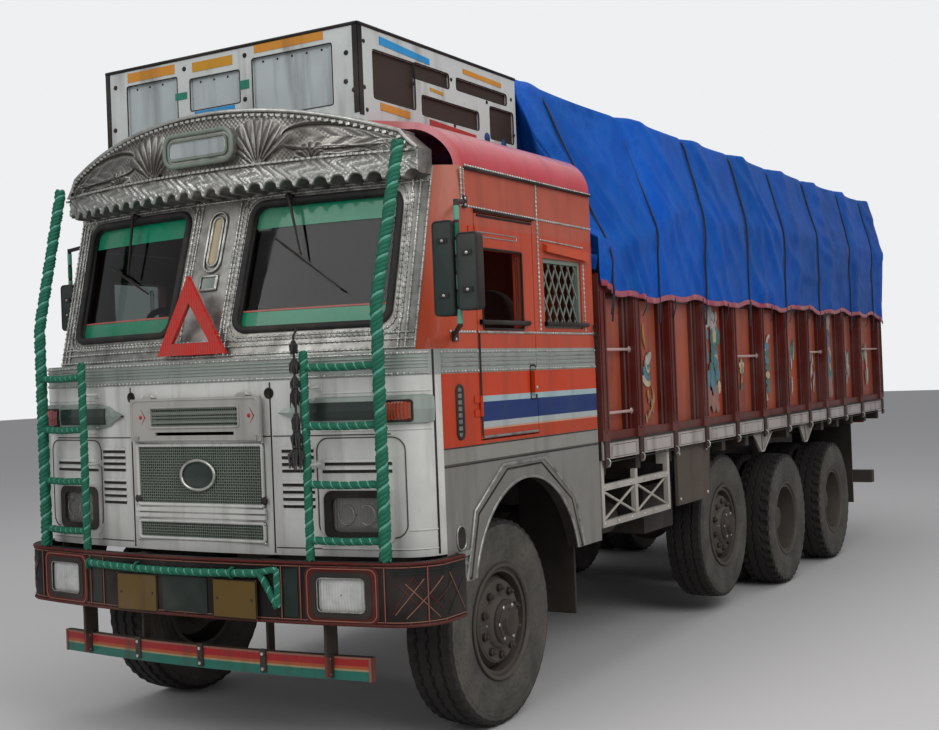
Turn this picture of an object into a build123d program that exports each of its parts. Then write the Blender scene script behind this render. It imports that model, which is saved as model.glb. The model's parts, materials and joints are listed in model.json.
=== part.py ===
from build123d import *
import os

# Decorated forward-control goods lorry, millimetres.
# +X is forward, +Y is the lorry's left, +Z is up, ground at Z = 0.
# Places along the lorry are measured from the front axle, forward positive,
# and station() turns them into X of the part's own frame.

# Overall layout along the lorry
front_overhang = 1075
lift_axle_back = 3270
drive_axle_back = 4500
bogie_spacing = 1398
body_front = -970
body_rear = -7670
running_gap = 6
gate_thickness = 40
rear_reach = running_gap + gate_thickness - body_rear
overall_length = front_overhang + rear_reach
front_axle_x = overall_length / 2 - front_overhang
gap = 0.3

# Tyres and wheels
tyre_radius = 512
tyre_width = 275
tyre_bead_half = 98
rim_seat_radius = 254
rim_barrel = 8
rim_flange_radius = 286
rim_flange = 9
front_track_half = 983
twin_outer_y = 1066
twin_inner_y = 746
lift_axle_raise = 90
disc_thickness = 14
hub_radius = 118
hub_cap_radius = 84
spindle_radius = 34
axle_tube_radius = 62
drum_radius = 205
kingpin_y = 860
kingpin_radius = 21
knuckle_height = 250

# Chassis
rail_outer_y = 430
rail_flange = 75
rail_web = 8
rail_bottom = 800
rail_top = 1050
rail_front = 888
rail_rear_margin = 120
cross_members = (780, -1900, -2700, -3900, -5199, -6500)

# Cab shell
cab_half_width = 1235
cab_wall = 60
panel_wall = 35
cab_rear = -930
cab_floor_z = 1230
cab_floor_thickness = 40
cab_skirt_z = 800
panel_bottom = 950
band_bottom = 1757
band_top = 1871
gutter_z = 2730
roof_top_z = 3020
roof_shoulder_y = 1055
roof_shoulder_z = 2935
roof_wall = 30

# Plan outlines of the cab front: apex, corner start x and y, side start x
lower_plan = dict(apex=955, corner_x=852, corner_y=1090, side_x=700)
sill_plan = dict(apex=945, corner_x=775, corner_y=1050, side_x=620)
gutter_plan = dict(apex=675, corner_x=578, corner_y=975, side_x=430)

# Windscreens, front view
screen_inner_y = 205
screen_outer_y = 1000
screen_bottom = 2000
screen_top = 2620
screen_corner = 70
glass_thickness = 6

# Wheel arch
arch_centre_x = -85
arch_radius = 557
arch_top = 1227

# Doors, one each side
door_front = 360
door_rear = -230
door_bottom = 1437
door_top = 2520
door_window = (-105, 300, 1965, 2350)
door_hinge_proud = 9
door_hinge_heights = (1600, 2400)
hinge_half = 16
hinge_pin_radius = 4
sleeper_window = (-790, -340, 1975, 2340)

# Crown over the windscreens
crown_plan = dict(apex=835, corner_x=660, corner_y=1090, side_x=500)
crown_plan_half = 1262
crown_half_width = 1130
crown_bottom = 2665
crown_end_top = 2800
crown_top = 3075
scallop_pitch = 88
scallop_radius = 36

# Luggage box on the roof
box_front = 660
box_rear = -880
box_half_width = 820
box_bottom = roof_top_z
box_height = 410
box_top = box_bottom + box_height
box_wall = 30
box_pocket = 16

# Bumper and plank
bumper_plan = dict(apex=1075, corner_x=975, corner_y=1075, side_x=800)
bumper_half_width = 1278
bumper_bottom = 660
bumper_top = 942
bumper_wall = 38
bumper_end_x = 620
horn_bottom = 720
lamp_inner_y = 705
lamp_outer_y = 1045
lamp_corner = 22
plank_front = 1000
plank_half_width = 965
plank_bottom = 405
plank_top = 512
plank_thickness = 30

# Cargo body
body_floor_top = 1350
body_floor_bottom = 1240
body_half_width = 1250
body_skin_y = 1195
body_skin = 30
body_side_top = 2290
post_width = 95
bearer_bottom = 1150
bearer_width = 70
bearer_count = 14
headboard_thickness = 40
deck_step = 5
wall_foot_z = body_floor_top - deck_step

# Tarpaulin on its hoops, with its outline at three places along the body
tarp_front = -885
tarp_square = -2250
tarp_rear = body_rear - 20
tarp_skin = 12
tarp_half_width = 1268
tarp_hem_z = 2185
tarp_sections = (
    dict(place=tarp_rear, knee=(1294, 2800), shoulder=(1175, 3325), crest=3440),
    dict(place=tarp_square, knee=(1285, 2750), shoulder=(1150, 3285), crest=3430),
    dict(place=tarp_front, knee=(1266, 2305), shoulder=(785, 3445), crest=3500),
)
hoop_bar = 42
hoop_count = 8
hoop_clearance = 0.4
hoop_rail_y = 740

# Posts of the cargo side, distance behind the front of the body
post_stations = (540, 1090, 1650, 2270, 2900, 3490, 4090, 4640, 5220, 5830)


def station(distance):
    return front_axle_x + distance


def block(x, y, z):
    """A box from its three ranges."""
    x, y, z = sorted(x), sorted(y), sorted(z)
    size = (x[1] - x[0], y[1] - y[0], z[1] - z[0])
    middle = ((x[0] + x[1]) / 2, (y[0] + y[1]) / 2, (z[0] + z[1]) / 2)
    return Pos(*middle) * Box(*size)


def across(x_range, y_abs, z_range):
    """The same box on both sides of the lorry."""
    left = block(x_range, y_abs, z_range)
    return [left, left.mirror(Plane.XZ)]


def both(shape):
    return [shape, shape.mirror(Plane.XZ)]


def side_plate(points, y_from, y_to):
    """A plate with its outline in X and Z, from one Y to another."""
    outline = Wire.make_polygon([Vector(x, y_from, z) for x, z in points], close=True)
    return Solid.extrude(Face(outline), Vector(0, y_to - y_from, 0))


def front_plate(points, x_from, x_to):
    """A plate with its outline in Y and Z, from one X to another."""
    outline = Wire.make_polygon([Vector(x_from, y, z) for y, z in points], close=True)
    return Solid.extrude(Face(outline), Vector(x_to - x_from, 0, 0))


def rod(start, end, radius):
    """A round bar between two points."""
    start = Vector(*start)
    end = Vector(*end)
    length = (end - start).length
    plane = Plane(origin=start, z_dir=end - start)
    return plane * Cylinder(radius, length, align=(Align.CENTER, Align.CENTER, Align.MIN))


def cross_rod(x, y_from, y_to, z, radius):
    return rod((x, y_from, z), (x, y_to, z), radius)


def fuse(shapes):
    result = shapes[0]
    for shape in shapes[1:]:
        result = result + shape
    return result


def turned(points):
    """A ring turned about the Y axis from (radius, y) points."""
    return revolve(make_face(Polyline(*points, close=True)), Axis.Y)


def place_wheel(shape, distance, y, z):
    """Move a wheel part made for the left side; a negative y gives the right one."""
    moved = Pos(station(distance), abs(y), z) * shape
    return moved if y > 0 else moved.mirror(Plane.XZ)


def solids_of(shapes):
    found = []
    for shape in shapes:
        found.extend(shape.solids())
    return found


def save(name, shapes):
    shapes = shapes if isinstance(shapes, (list, tuple)) else [shapes]
    solids = solids_of(shapes)
    whole = solids[0] if len(solids) == 1 else Compound(children=solids)
    export_step(whole, os.path.join("parts", name + ".step"))


# Wheels

def tyre():
    half = tyre_width / 2
    shoulder_r = tyre_radius - 16
    tread_half = half - 42
    outer = [
        Edge.make_line((rim_seat_radius + gap, tyre_bead_half), (rim_flange_radius, tyre_bead_half)),
        Edge.make_three_point_arc(
            (rim_flange_radius, tyre_bead_half), (400, half), (shoulder_r, half - 22)
        ),
        Edge.make_line((shoulder_r, half - 22), (tyre_radius, tread_half)),
        Edge.make_line((tyre_radius, tread_half), (tyre_radius, -tread_half)),
        Edge.make_line((tyre_radius, -tread_half), (shoulder_r, 22 - half)),
        Edge.make_three_point_arc(
            (shoulder_r, 22 - half), (400, -half), (rim_flange_radius, -tyre_bead_half)
        ),
        Edge.make_line((rim_flange_radius, -tyre_bead_half), (rim_seat_radius + gap, -tyre_bead_half)),
        Edge.make_line((rim_seat_radius + gap, -tyre_bead_half), (rim_seat_radius + gap, tyre_bead_half)),
    ]
    return revolve(Face(Wire(outer)), Axis.Y)


def rim():
    inner = rim_seat_radius - rim_barrel
    flange_in = tyre_bead_half + gap
    flange_out = flange_in + rim_flange
    return turned([
        (inner, -flange_out), (rim_flange_radius, -flange_out), (rim_flange_radius, -flange_in),
        (rim_seat_radius, -flange_in), (rim_seat_radius, flange_in), (rim_flange_radius, flange_in),
        (rim_flange_radius, flange_out), (inner, flange_out),
    ])


def dished_disc(edge_y, face_y, bore):
    """Wheel disc from the rim barrel at edge_y to its flat face at face_y."""
    edge_r = rim_seat_radius - rim_barrel + 1
    face_r = edge_r - 52
    return turned([
        (edge_r, edge_y), (face_r, face_y), (bore, face_y),
        (bore, face_y + disc_thickness), (face_r, face_y + disc_thickness),
        (edge_r, edge_y + 2 * disc_thickness),
    ])


def single_wheel():
    """Rim, outset disc, hub and drum of a wheel that carries one tyre; outside is +Y."""
    bore = spindle_radius + gap
    drum_y = kingpin_y + 96 - front_track_half
    hub = turned([
        (bore, drum_y + 14), (drum_radius - 60, drum_y + 14), (drum_radius - 60, drum_y),
        (drum_radius, drum_y), (drum_radius, drum_y + 90), (hub_radius, drum_y + 100),
        (hub_radius, 132), (hub_cap_radius, 138), (hub_cap_radius, 158), (0, 164), (0, 128), (bore, 128),
    ])
    return rim() + dished_disc(0, 92, hub_radius - 2) + hub


def twin_wheel():
    """Two rims back to back with their discs, hub and drum; Y = 0 is between the rims."""
    half = (twin_outer_y - twin_inner_y) / 2
    mirror_disc = turned([
        (rim_seat_radius - rim_barrel + 1, 58), (196, 0), (hub_radius - 2, 0),
        (hub_radius - 2, disc_thickness), (196, disc_thickness), (rim_seat_radius - rim_barrel + 1, 86),
    ])
    bore = axle_tube_radius + gap
    hub = turned([
        (bore, -220), (drum_radius, -220), (drum_radius, -60), (hub_radius, -50),
        (hub_radius, 150), (hub_cap_radius, 165), (hub_cap_radius, 205), (0, 212), (0, 178), (bore, 178),
    ])
    outer = Pos(0, half, 0) * rim()
    inner = Pos(0, -half, 0) * rim()
    return outer + mirror_disc + inner + mirror_disc.mirror(Plane.XZ) + hub


sides = (("left", 1), ("right", -1))
one_tyre = tyre()
one_wheel = single_wheel()
twin = twin_wheel()
twin_middle = (twin_outer_y + twin_inner_y) / 2
twin_half = (twin_outer_y - twin_inner_y) / 2
two_tyres = [Pos(0, twin_half, 0) * one_tyre, Pos(0, -twin_half, 0) * one_tyre]


def save_wheels():
    lift_z = tyre_radius + lift_axle_raise
    singles = (("front", 0, tyre_radius), ("lift", -lift_axle_back, lift_z))
    for side, sign in sides:
        for name, distance, height in singles:
            where = (distance, sign * front_track_half, height)
            save(f"tyre_{name}_{side}", place_wheel(one_tyre, *where))
            save(f"wheel_{name}_{side}", place_wheel(one_wheel, *where))
        for number in (1, 2):
            distance = -drive_axle_back - (number - 1) * bogie_spacing
            where = (distance, sign * twin_middle, tyre_radius)
            save(f"tyres_drive_{number}_{side}", [place_wheel(t, *where) for t in two_tyres])
            save(f"wheel_drive_{number}_{side}", place_wheel(twin, *where))


# Axles and steering

eye_half = 58
fork_gap = 3


def knuckle():
    """Left steering knuckle: fork round the beam eye, kingpin and wheel spindle."""
    x = station(0)
    z = tyre_radius
    fork_z = eye_half + fork_gap
    arm_y = (kingpin_y - 46, kingpin_y + 84)
    upper = block((x - 46, x + 46), arm_y, (z + fork_z, z + knuckle_height / 2))
    lower = block((x - 46, x + 46), arm_y, (z - knuckle_height / 2, z - fork_z))
    web = block((x - 46, x + 46), (kingpin_y + 56, kingpin_y + 84), (z - 100, z + 100))
    pin = rod((x, kingpin_y, z - knuckle_height / 2), (x, kingpin_y, z + knuckle_height / 2), kingpin_radius)
    spindle = cross_rod(x, kingpin_y + 80, front_track_half + 124, z, spindle_radius)
    return upper + lower + web + pin + spindle


def leaf_spring(centre_x, centre_z, half_length, rise, y, width, leaves, hang):
    """Stacked leaves; hang is +1 when the ends turn up, -1 when they turn down."""
    parts = []
    leaf = 14
    for number in range(leaves):
        reach = half_length * (1 - 0.8 * number / leaves)
        lift = rise * (reach / half_length) ** 2
        low = centre_z - hang * leaf * number
        top = [(centre_x - reach, low + hang * lift), (centre_x, low), (centre_x + reach, low + hang * lift)]
        under = [(x, z - leaf) for x, z in top]
        outline = Wire([
            Edge.make_three_point_arc(*[Vector(x, y, z) for x, z in top]),
            Edge.make_line((top[2][0], y, top[2][1]), (under[2][0], y, under[2][1])),
            Edge.make_three_point_arc(*[Vector(x, y, z) for x, z in reversed(under)]),
            Edge.make_line((under[0][0], y, under[0][1]), (top[0][0], y, top[0][1])),
        ])
        parts.append(Solid.extrude(Face(outline), Vector(0, width, 0)))
    return fuse(parts)


def front_axle():
    x = station(0)
    z = tyre_radius
    beam = block((x - 42, x + 42), (-kingpin_y, kingpin_y), (z - eye_half, z + eye_half))
    for sign in (1, -1):
        beam = beam - block(
            (x + sign * 18, x + sign * 60), (90 - kingpin_y, kingpin_y - 90), (z - 38, z + 38))
    pieces = [beam]
    for sign in (1, -1):
        eye = rod((x, sign * kingpin_y, z - eye_half), (x, sign * kingpin_y, z + eye_half), 46)
        pieces.append(eye)
        y = rail_outer_y - rail_flange if sign > 0 else -rail_outer_y
        spring = leaf_spring(x, z + eye_half + 56, 700, 120, y, rail_flange, 4, 1)
        seat = block((x - 60, x + 60), (y, y + rail_flange), (z + eye_half, z + eye_half + 44))
        pieces += [spring, seat]
        for end in (-1, 1):
            pieces.append(block(
                (x + end * 690 - 30, x + end * 690 + 30), (y, y + rail_flange),
                (z + eye_half + 150, rail_bottom)))
    whole = fuse(pieces)
    for sign in (1, -1):
        whole = whole - rod(
            (x, sign * kingpin_y, z - eye_half - 5), (x, sign * kingpin_y, z + eye_half + 5),
            kingpin_radius + gap)
    return whole


def drive_axle(distance):
    x = station(distance)
    reach = twin_middle + 172
    tube = cross_rod(x, -reach, reach, tyre_radius, axle_tube_radius)
    casing = Pos(x, 0, tyre_radius) * (Sphere(205) - Pos(0, 0, 250) * Box(500, 500, 170))
    flange = cross_rod(x, -300, 300, tyre_radius, 92)
    return tube + casing + flange


def bogie_spring(sign):
    """Upturned leaf pack between the drive axles with its trunnion on the rail."""
    middle = station(-drive_axle_back - bogie_spacing / 2)
    y = rail_outer_y - rail_flange if sign > 0 else -rail_outer_y
    spring = leaf_spring(middle, 700, bogie_spacing / 2 - 20, 60, y, rail_flange, 4, -1)
    bracket = block((middle - 90, middle + 90), (y, y + rail_flange), (690, rail_bottom))
    return spring + bracket


def rear_axles():
    first = drive_axle(-drive_axle_back)
    second = drive_axle(-drive_axle_back - bogie_spacing)
    pads = []
    for distance in (-drive_axle_back, -drive_axle_back - bogie_spacing):
        x = station(distance)
        for y in (rail_outer_y - rail_flange, -rail_outer_y):
            pads.append(block((x - 55, x + 55), (y, y + rail_flange), (tyre_radius, 640)))
    bogie = fuse([first, second, bogie_spring(1), bogie_spring(-1)] + pads)
    x = station(-lift_axle_back)
    z = tyre_radius + lift_axle_raise
    lift = [
        cross_rod(x, 1 - front_track_half + 110, front_track_half - 111, z, axle_tube_radius - 6),
        cross_rod(x, -front_track_half - 124, front_track_half + 124, z, spindle_radius),
    ]
    for y in (rail_outer_y - rail_flange, -rail_outer_y):
        lift.append(leaf_spring(x, z + 100, 480, 40, y, rail_flange, 3, 1))
        lift.append(block((x - 50, x + 50), (y, y + rail_flange), (z, z + 66)))
        for end in (-1, 1):
            lift.append(block(
                (x + end * 465 - 26, x + end * 465 + 26), (y, y + rail_flange), (z + 120, rail_bottom)))
    return [bogie, fuse(lift)]


# Chassis

def chassis_frame():
    x0 = station(body_rear + rail_rear_margin)
    x1 = station(rail_front)
    pieces = []
    for sign in (1, -1):
        outer = block((x0, x1), (rail_outer_y - rail_flange, rail_outer_y), (rail_bottom, rail_top))
        hollow = block(
            (x0 - 5, x1 + 5), (rail_outer_y - rail_flange - 5, rail_outer_y - rail_web),
            (rail_bottom + rail_web, rail_top - rail_web))
        rail = outer - hollow
        pieces.append(rail if sign > 0 else rail.mirror(Plane.XZ))
    inner = rail_outer_y - rail_web
    for distance in cross_members + (body_rear + rail_rear_margin + 60,):
        x = station(distance)
        pieces.append(block((x - 40, x + 40), (-inner, inner), (rail_top - 75, rail_top - 15)))
    horn_back = station(rail_front - 60)
    horn_front = station(bumper_plan["apex"])
    horn_limit = plan_prism(
        bumper_plan, bumper_half_width, bumper_wall + gap, rail_front - 200, bumper_bottom, bumper_top)
    for sign in (1, -1):
        y = sorted((sign * (rail_outer_y - rail_flange), sign * rail_outer_y))
        pieces.append(block((horn_back, horn_front), y, (horn_bottom, bumper_top - 12)) & horn_limit)
    return fuse(pieces)


engine_x = (-860, 330)
engine_half_width = 320
engine_z = (640, 1450)


def engine():
    x = (station(engine_x[0]), station(engine_x[1]))
    body = block(x, (-engine_half_width, engine_half_width), engine_z)
    feet = []
    for distance in (engine_x[0] + 120, engine_x[1] - 120):
        centre = station(distance)
        feet += across(
            (centre - 40, centre + 40), (engine_half_width - 5, rail_outer_y - 10), (rail_top, rail_top + 40))
    return fuse([body] + feet)


def driveline():
    back = station(engine_x[0])
    z = 900
    gearbox = block((back - 520, back), (-190, 190), (z - 200, z + 170))
    output = (back - 510, 0, z + 90)
    case_front = station(-drive_axle_back) + 190
    shaft = rod(output, (case_front, 0, tyre_radius + 60), 48)
    link = rod(
        (station(-drive_axle_back) - 190, 0, tyre_radius + 10),
        (station(-drive_axle_back - bogie_spacing) + 190, 0, tyre_radius + 10), 48)
    casings = drive_axle(-drive_axle_back) + drive_axle(-drive_axle_back - bogie_spacing)
    return [gearbox + (shaft - casings - gearbox), link - casings]


def tanks():
    """Fuel tank on the right, air reservoirs and battery box on the left."""
    y_rail = rail_outer_y
    fuel = block((station(-2250), station(-1150)), (-1060, -y_rail - 60), (620, 1040))
    fuel = fillet(fuel.edges().filter_by(Axis.X), 90)
    straps = [
        block((station(place) - 30, station(place) + 30), (-y_rail - 100, -y_rail), (700, 900))
        for place in (-1950, -1450)]
    air = []
    for y in (640, 860):
        air.append(rod((station(-1750), y, 830), (station(-1060), y, 830), 105))
    hangers = [
        block((station(d) - 25, station(d) + 25), (y_rail, 880), (915, 955)) for d in (-1640, -1180)]
    battery = block((station(-2440), station(-1960)), (y_rail, 1050), (700, 1000))
    return [fuse([fuel] + straps), fuse(air + hangers), battery]


# Cab

def plan_face(plan, half_width, inset, rear, z):
    """The cab's outline seen from above at one height, moved in by inset."""
    apex = plan["apex"] - inset
    corner_x = plan["corner_x"] - inset
    corner_y = plan["corner_y"] - inset * 0.75
    side_x = plan["side_x"]
    side_y = half_width - inset
    mid_x = corner_x + (side_x - corner_x) * 0.42
    mid_y = corner_y + (side_y - corner_y) * 0.72
    x = station
    edges = [
        Edge.make_line((x(rear), -side_y, z), (x(side_x), -side_y, z)),
        Edge.make_three_point_arc(
            (x(side_x), -side_y, z), (x(mid_x), -mid_y, z), (x(corner_x), -corner_y, z)),
        Edge.make_three_point_arc((x(corner_x), -corner_y, z), (x(apex), 0, z), (x(corner_x), corner_y, z)),
        Edge.make_three_point_arc((x(corner_x), corner_y, z), (x(mid_x), mid_y, z), (x(side_x), side_y, z)),
        Edge.make_line((x(side_x), side_y, z), (x(rear), side_y, z)),
        Edge.make_line((x(rear), side_y, z), (x(rear), -side_y, z)),
    ]
    return Face(Wire(edges))


def plan_prism(plan, half_width, inset, rear, z0, z1):
    return Solid.extrude(plan_face(plan, half_width, inset, rear, z0), Vector(0, 0, z1 - z0))


def plan_loft(low, high, half_width, inset, rear, z0, z1):
    faces = [plan_face(low, half_width, inset, rear, z0), plan_face(high, half_width, inset, rear, z1)]
    return Solid.make_loft([face.outer_wire() for face in faces], ruled=True)


def lower_shell(wall, z0, z1):
    """The curved front of the cab below the windscreens, back to where the sides start."""
    rear = lower_plan["side_x"]
    outer = plan_prism(lower_plan, cab_half_width, 0, rear - 200, z0, z1)
    inner = plan_prism(lower_plan, cab_half_width, wall, rear - 300, z0 - 1, z1 + 1)
    behind = block((station(rear - 400), station(rear)), (-2000, 2000), (z0 - 2, z1 + 2))
    return outer - inner - behind


def window_cut(y0, y1, z0, z1, corner, x0, x1):
    cut = block((station(x0), station(x1)), (y0, y1), (z0, z1))
    return fillet(cut.edges().filter_by(Axis.X), corner)


grille_openings = (
    # y half width, bottom, top
    (405, 1165, 1470),
    (405, 1000, 1100),
    (300, 1505, 1660),
)
panel_lamp = (715, 1045, 1040, 1254)
grille_corner = 12


def front_panel():
    shell = lower_shell(panel_wall, panel_bottom, band_bottom)
    for half, low, high in grille_openings:
        shell = shell - window_cut(-half, half, low, high, grille_corner, 700, 1100)
    for sign in (1, -1):
        y = sorted((sign * panel_lamp[0], sign * panel_lamp[1]))
        shell = shell - window_cut(y[0], y[1], panel_lamp[2], panel_lamp[3], lamp_corner, 700, 1100)
    return fuse([shell] + lid_hinge_ears())


def grilles():
    """Two framed grilles with their bars, set in the panel's openings."""
    made = []
    for half, low, high in grille_openings[:2]:
        y = half - gap
        z0 = low + gap
        z1 = high - gap
        x0 = station(905)
        x1 = station(945)
        frame = block((x0, x1), (-y, y), (z0, z1))
        frame = fillet(frame.edges().filter_by(Axis.X), grille_corner)
        frame = frame - block((x0 - 1, x1 + 1), (20 - y, y - 20), (z0 + 16, z1 - 16))
        bars = [frame]
        rows = max(2, round((z1 - z0) / 30))
        for row in range(1, rows):
            z = z0 + (z1 - z0) * row / rows
            bars.append(block((x0 + 10, x0 + 22), (15 - y, y - 15), (z - 3, z + 3)))
        columns = round(2 * y / 45)
        for column in range(1, columns):
            across_y = -y + 2 * y * column / columns
            bars.append(block((x0 + 12, x0 + 20), (across_y - 3, across_y + 3), (z0 + 10, z1 - 10)))
        made.append(fuse(bars))
    return made


lid_half_width = 412
lid_bottom = 1481
lid_top = 1690
lid_hinge_z = 1702
lid_thickness = 14
lid_hinge_places = (-300, 300)
lid_lug_half = 26
lid_clear = 6


def lid_axis_x():
    return station(lower_plan["apex"] + lid_clear + lid_thickness / 2)


def front_lid():
    """Service flap over the upper opening of the front panel, hinged along its top."""
    x0 = station(lower_plan["apex"] + lid_clear)
    plate = block((x0, x0 + lid_thickness), (-lid_half_width, lid_half_width), (lid_bottom, lid_top))
    slot = block((x0 - 1, x0 + lid_thickness + 1), (-250, 250), (1510, 1526))
    vents = block((x0 - 1, x0 + lid_thickness + 1), (-275, 275), (1555, 1640))
    bars = [
        block((x0 + 3, x0 + 9), (-280, 280), (z - 4, z + 4)) for z in (1576, 1597, 1618)]
    whole = fuse([plate - slot - vents] + bars)
    for y in lid_hinge_places:
        leaf = block(
            (x0, x0 + lid_thickness), (y - lid_lug_half, y + lid_lug_half), (lid_top - 1, lid_hinge_z))
        ring = cross_rod(lid_axis_x(), y - lid_lug_half, y + lid_lug_half, lid_hinge_z, lid_thickness / 2)
        hole = cross_rod(lid_axis_x(), y - 60, y + 60, lid_hinge_z, hinge_pin_radius + gap)
        whole = whole + (leaf + ring - hole)
    return whole


def lid_hinge_ears():
    """Ears on the front panel that hold the flap's pins."""
    made = []
    x = lid_axis_x()
    for y in lid_hinge_places:
        for sign in (1, -1):
            near = y + sign * (lid_lug_half + 1)
            far = near + sign * 10
            ear = block(
                (station(lower_plan["apex"] - 30), x), (near, far), (lid_hinge_z - 7, lid_hinge_z + 7))
            made.append(ear + cross_rod(x, near, far, lid_hinge_z, 7))
        made.append(cross_rod(x, y - lid_lug_half - 8, y + lid_lug_half + 8, lid_hinge_z, hinge_pin_radius))
    return made


def cab_sides():
    """Side walls with the wheel arch, the door opening and the sleeper window."""
    rear = station(cab_rear)
    left = side_plate([
        (rear, cab_skirt_z), (station(lower_plan["side_x"]), cab_skirt_z),
        (station(lower_plan["side_x"]), band_top), (station(sill_plan["side_x"]), band_top),
        (station(gutter_plan["side_x"]), gutter_z), (rear, gutter_z),
    ], cab_half_width - cab_wall, cab_half_width)
    arch_z = arch_top - arch_radius
    through = (cab_half_width - 100, cab_half_width + 50)
    arch = rod(
        (station(arch_centre_x), through[0], arch_z), (station(arch_centre_x), through[1], arch_z),
        arch_radius)
    below = block(
        (station(arch_centre_x) - arch_radius, station(arch_centre_x) + arch_radius),
        through, (arch_z - 400, arch_z))
    door_hole = block((station(door_rear), station(door_front)), through, (door_bottom, door_top))
    window = block(
        (station(sleeper_window[0]), station(sleeper_window[1])), through,
        (sleeper_window[2], sleeper_window[3]))
    return both(fuse([left - arch - below - door_hole - window] + door_hinge_ears()))


def sleeper_grilles():
    """Frame and crossed flat bars of the rear side windows."""
    x0, x1 = station(sleeper_window[0]) + gap, station(sleeper_window[1]) - gap
    z0, z1 = sleeper_window[2] + gap, sleeper_window[3] - gap
    y = (cab_half_width - 40, cab_half_width - 10)
    middle = (y[0] + y[1]) / 2
    bar_half = 5
    bar_depth = 6
    step = 78
    slant = (z1 - z0) * 0.6
    inside = block((x0 + 10, x1 - 10), y, (z0 + 10, z1 - 10))
    frame = block((x0, x1), y, (z0, z1)) - block((x0 + 22, x1 - 22), (y[0] - 1, y[1] + 1), (z0 + 22, z1 - 22))
    bars = [frame]
    for number in range(-2, 6):
        low = x0 + number * step
        for lean in (1, -1):
            foot, head = (low, low + slant) if lean > 0 else (low + slant, low)
            near = middle + (lean - 1) / 2 * bar_depth
            bar = side_plate([
                (foot - bar_half, z0), (foot + bar_half, z0), (head + bar_half, z1), (head - bar_half, z1),
            ], near, near + bar_depth)
            bars.append(bar & inside)
    return both(fuse([bar for bar in bars if bar.solids()]))


def door():
    """Left door with its window cut."""
    clear = running_gap
    x = (station(door_rear) + clear, station(door_front) - clear)
    slab = block(x, (cab_half_width - cab_wall + 8, cab_half_width), (door_bottom + clear, door_top - clear))
    window = block(
        (station(door_window[0]), station(door_window[1])), (cab_half_width - 100, cab_half_width + 20),
        (door_window[2], door_window[3]))
    handle = block(
        (x[0] + 20, x[0] + 60), (cab_half_width - 1, cab_half_width + 22), (1640, 1760))
    axis_x = station(door_front)
    axis_y = cab_half_width + door_hinge_proud
    whole = slab - window + handle
    for z in door_hinge_heights:
        half = hinge_half - 1
        leaf = block((axis_x - 60, axis_x), (cab_half_width - 1, cab_half_width + 6), (z - half, z + half))
        knuckle_ring = rod((axis_x, axis_y, z - half), (axis_x, axis_y, z + half), door_hinge_proud)
        hole = rod((axis_x, axis_y, z - 60), (axis_x, axis_y, z + 60), hinge_pin_radius + gap)
        whole = whole + (leaf + knuckle_ring - hole)
    return whole


def door_hinge_ears():
    """Fixed halves of the left door's hinges with their pins."""
    axis_x = station(door_front)
    axis_y = cab_half_width + door_hinge_proud
    made = []
    for z in door_hinge_heights:
        for low, high in ((z - 3 * hinge_half, z - hinge_half), (z + hinge_half, z + 3 * hinge_half)):
            leaf = block((axis_x, axis_x + 55), (cab_half_width - 2, cab_half_width + 6), (low, high))
            made.append(leaf + rod((axis_x, axis_y, low), (axis_x, axis_y, high), door_hinge_proud - gap))
        made.append(rod(
            (axis_x, axis_y, z - 2 * hinge_half), (axis_x, axis_y, z + 2 * hinge_half), hinge_pin_radius))
    return made


def cab_front():
    """Band, pillars and header round the two windscreens."""
    band_shell = lower_shell(cab_wall, band_bottom, band_top)
    rear = gutter_plan["side_x"] - 200
    outer = plan_loft(sill_plan, gutter_plan, cab_half_width, 0, rear, band_top, gutter_z)
    inner = plan_loft(sill_plan, gutter_plan, cab_half_width, cab_wall, rear - 50, band_top, gutter_z)
    behind = side_plate([
        (station(rear - 100), band_top - 1), (station(sill_plan["side_x"]), band_top - 1),
        (station(sill_plan["side_x"]), band_top), (station(gutter_plan["side_x"]), gutter_z),
        (station(gutter_plan["side_x"]), gutter_z + 1), (station(rear - 100), gutter_z + 1),
    ], -2000, 2000)
    sill = plan_prism(lower_plan, cab_half_width, 0, 400, band_top - 12, band_top)
    sill = sill - plan_prism(sill_plan, cab_half_width, cab_wall, 100, band_top - 20, band_top + 1)
    sill = sill - block(
        (station(-500), station(lower_plan["side_x"])), (-2000, 2000), (band_top - 20, band_top + 1))
    shell = outer - inner - behind + band_shell + sill
    for sign in (1, -1):
        y = sorted((sign * screen_inner_y, sign * screen_outer_y))
        shell = shell - window_cut(y[0], y[1], screen_bottom, screen_top, screen_corner, 450, 1100)
    return shell


def windscreens():
    rear = gutter_plan["side_x"] - 200
    middle = (cab_wall - glass_thickness) / 2
    outer = plan_loft(sill_plan, gutter_plan, cab_half_width, middle, rear, band_top, gutter_z)
    inner = plan_loft(
        sill_plan, gutter_plan, cab_half_width, middle + glass_thickness, rear - 50, band_top, gutter_z)
    panes = []
    for sign in (1, -1):
        y = sorted((sign * screen_inner_y, sign * screen_outer_y))
        cut = window_cut(
            y[0] + gap, y[1] - gap, screen_bottom + gap, screen_top - gap, screen_corner, 450, 1100)
        panes.append((outer - inner) & cut)
    return panes


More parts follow.
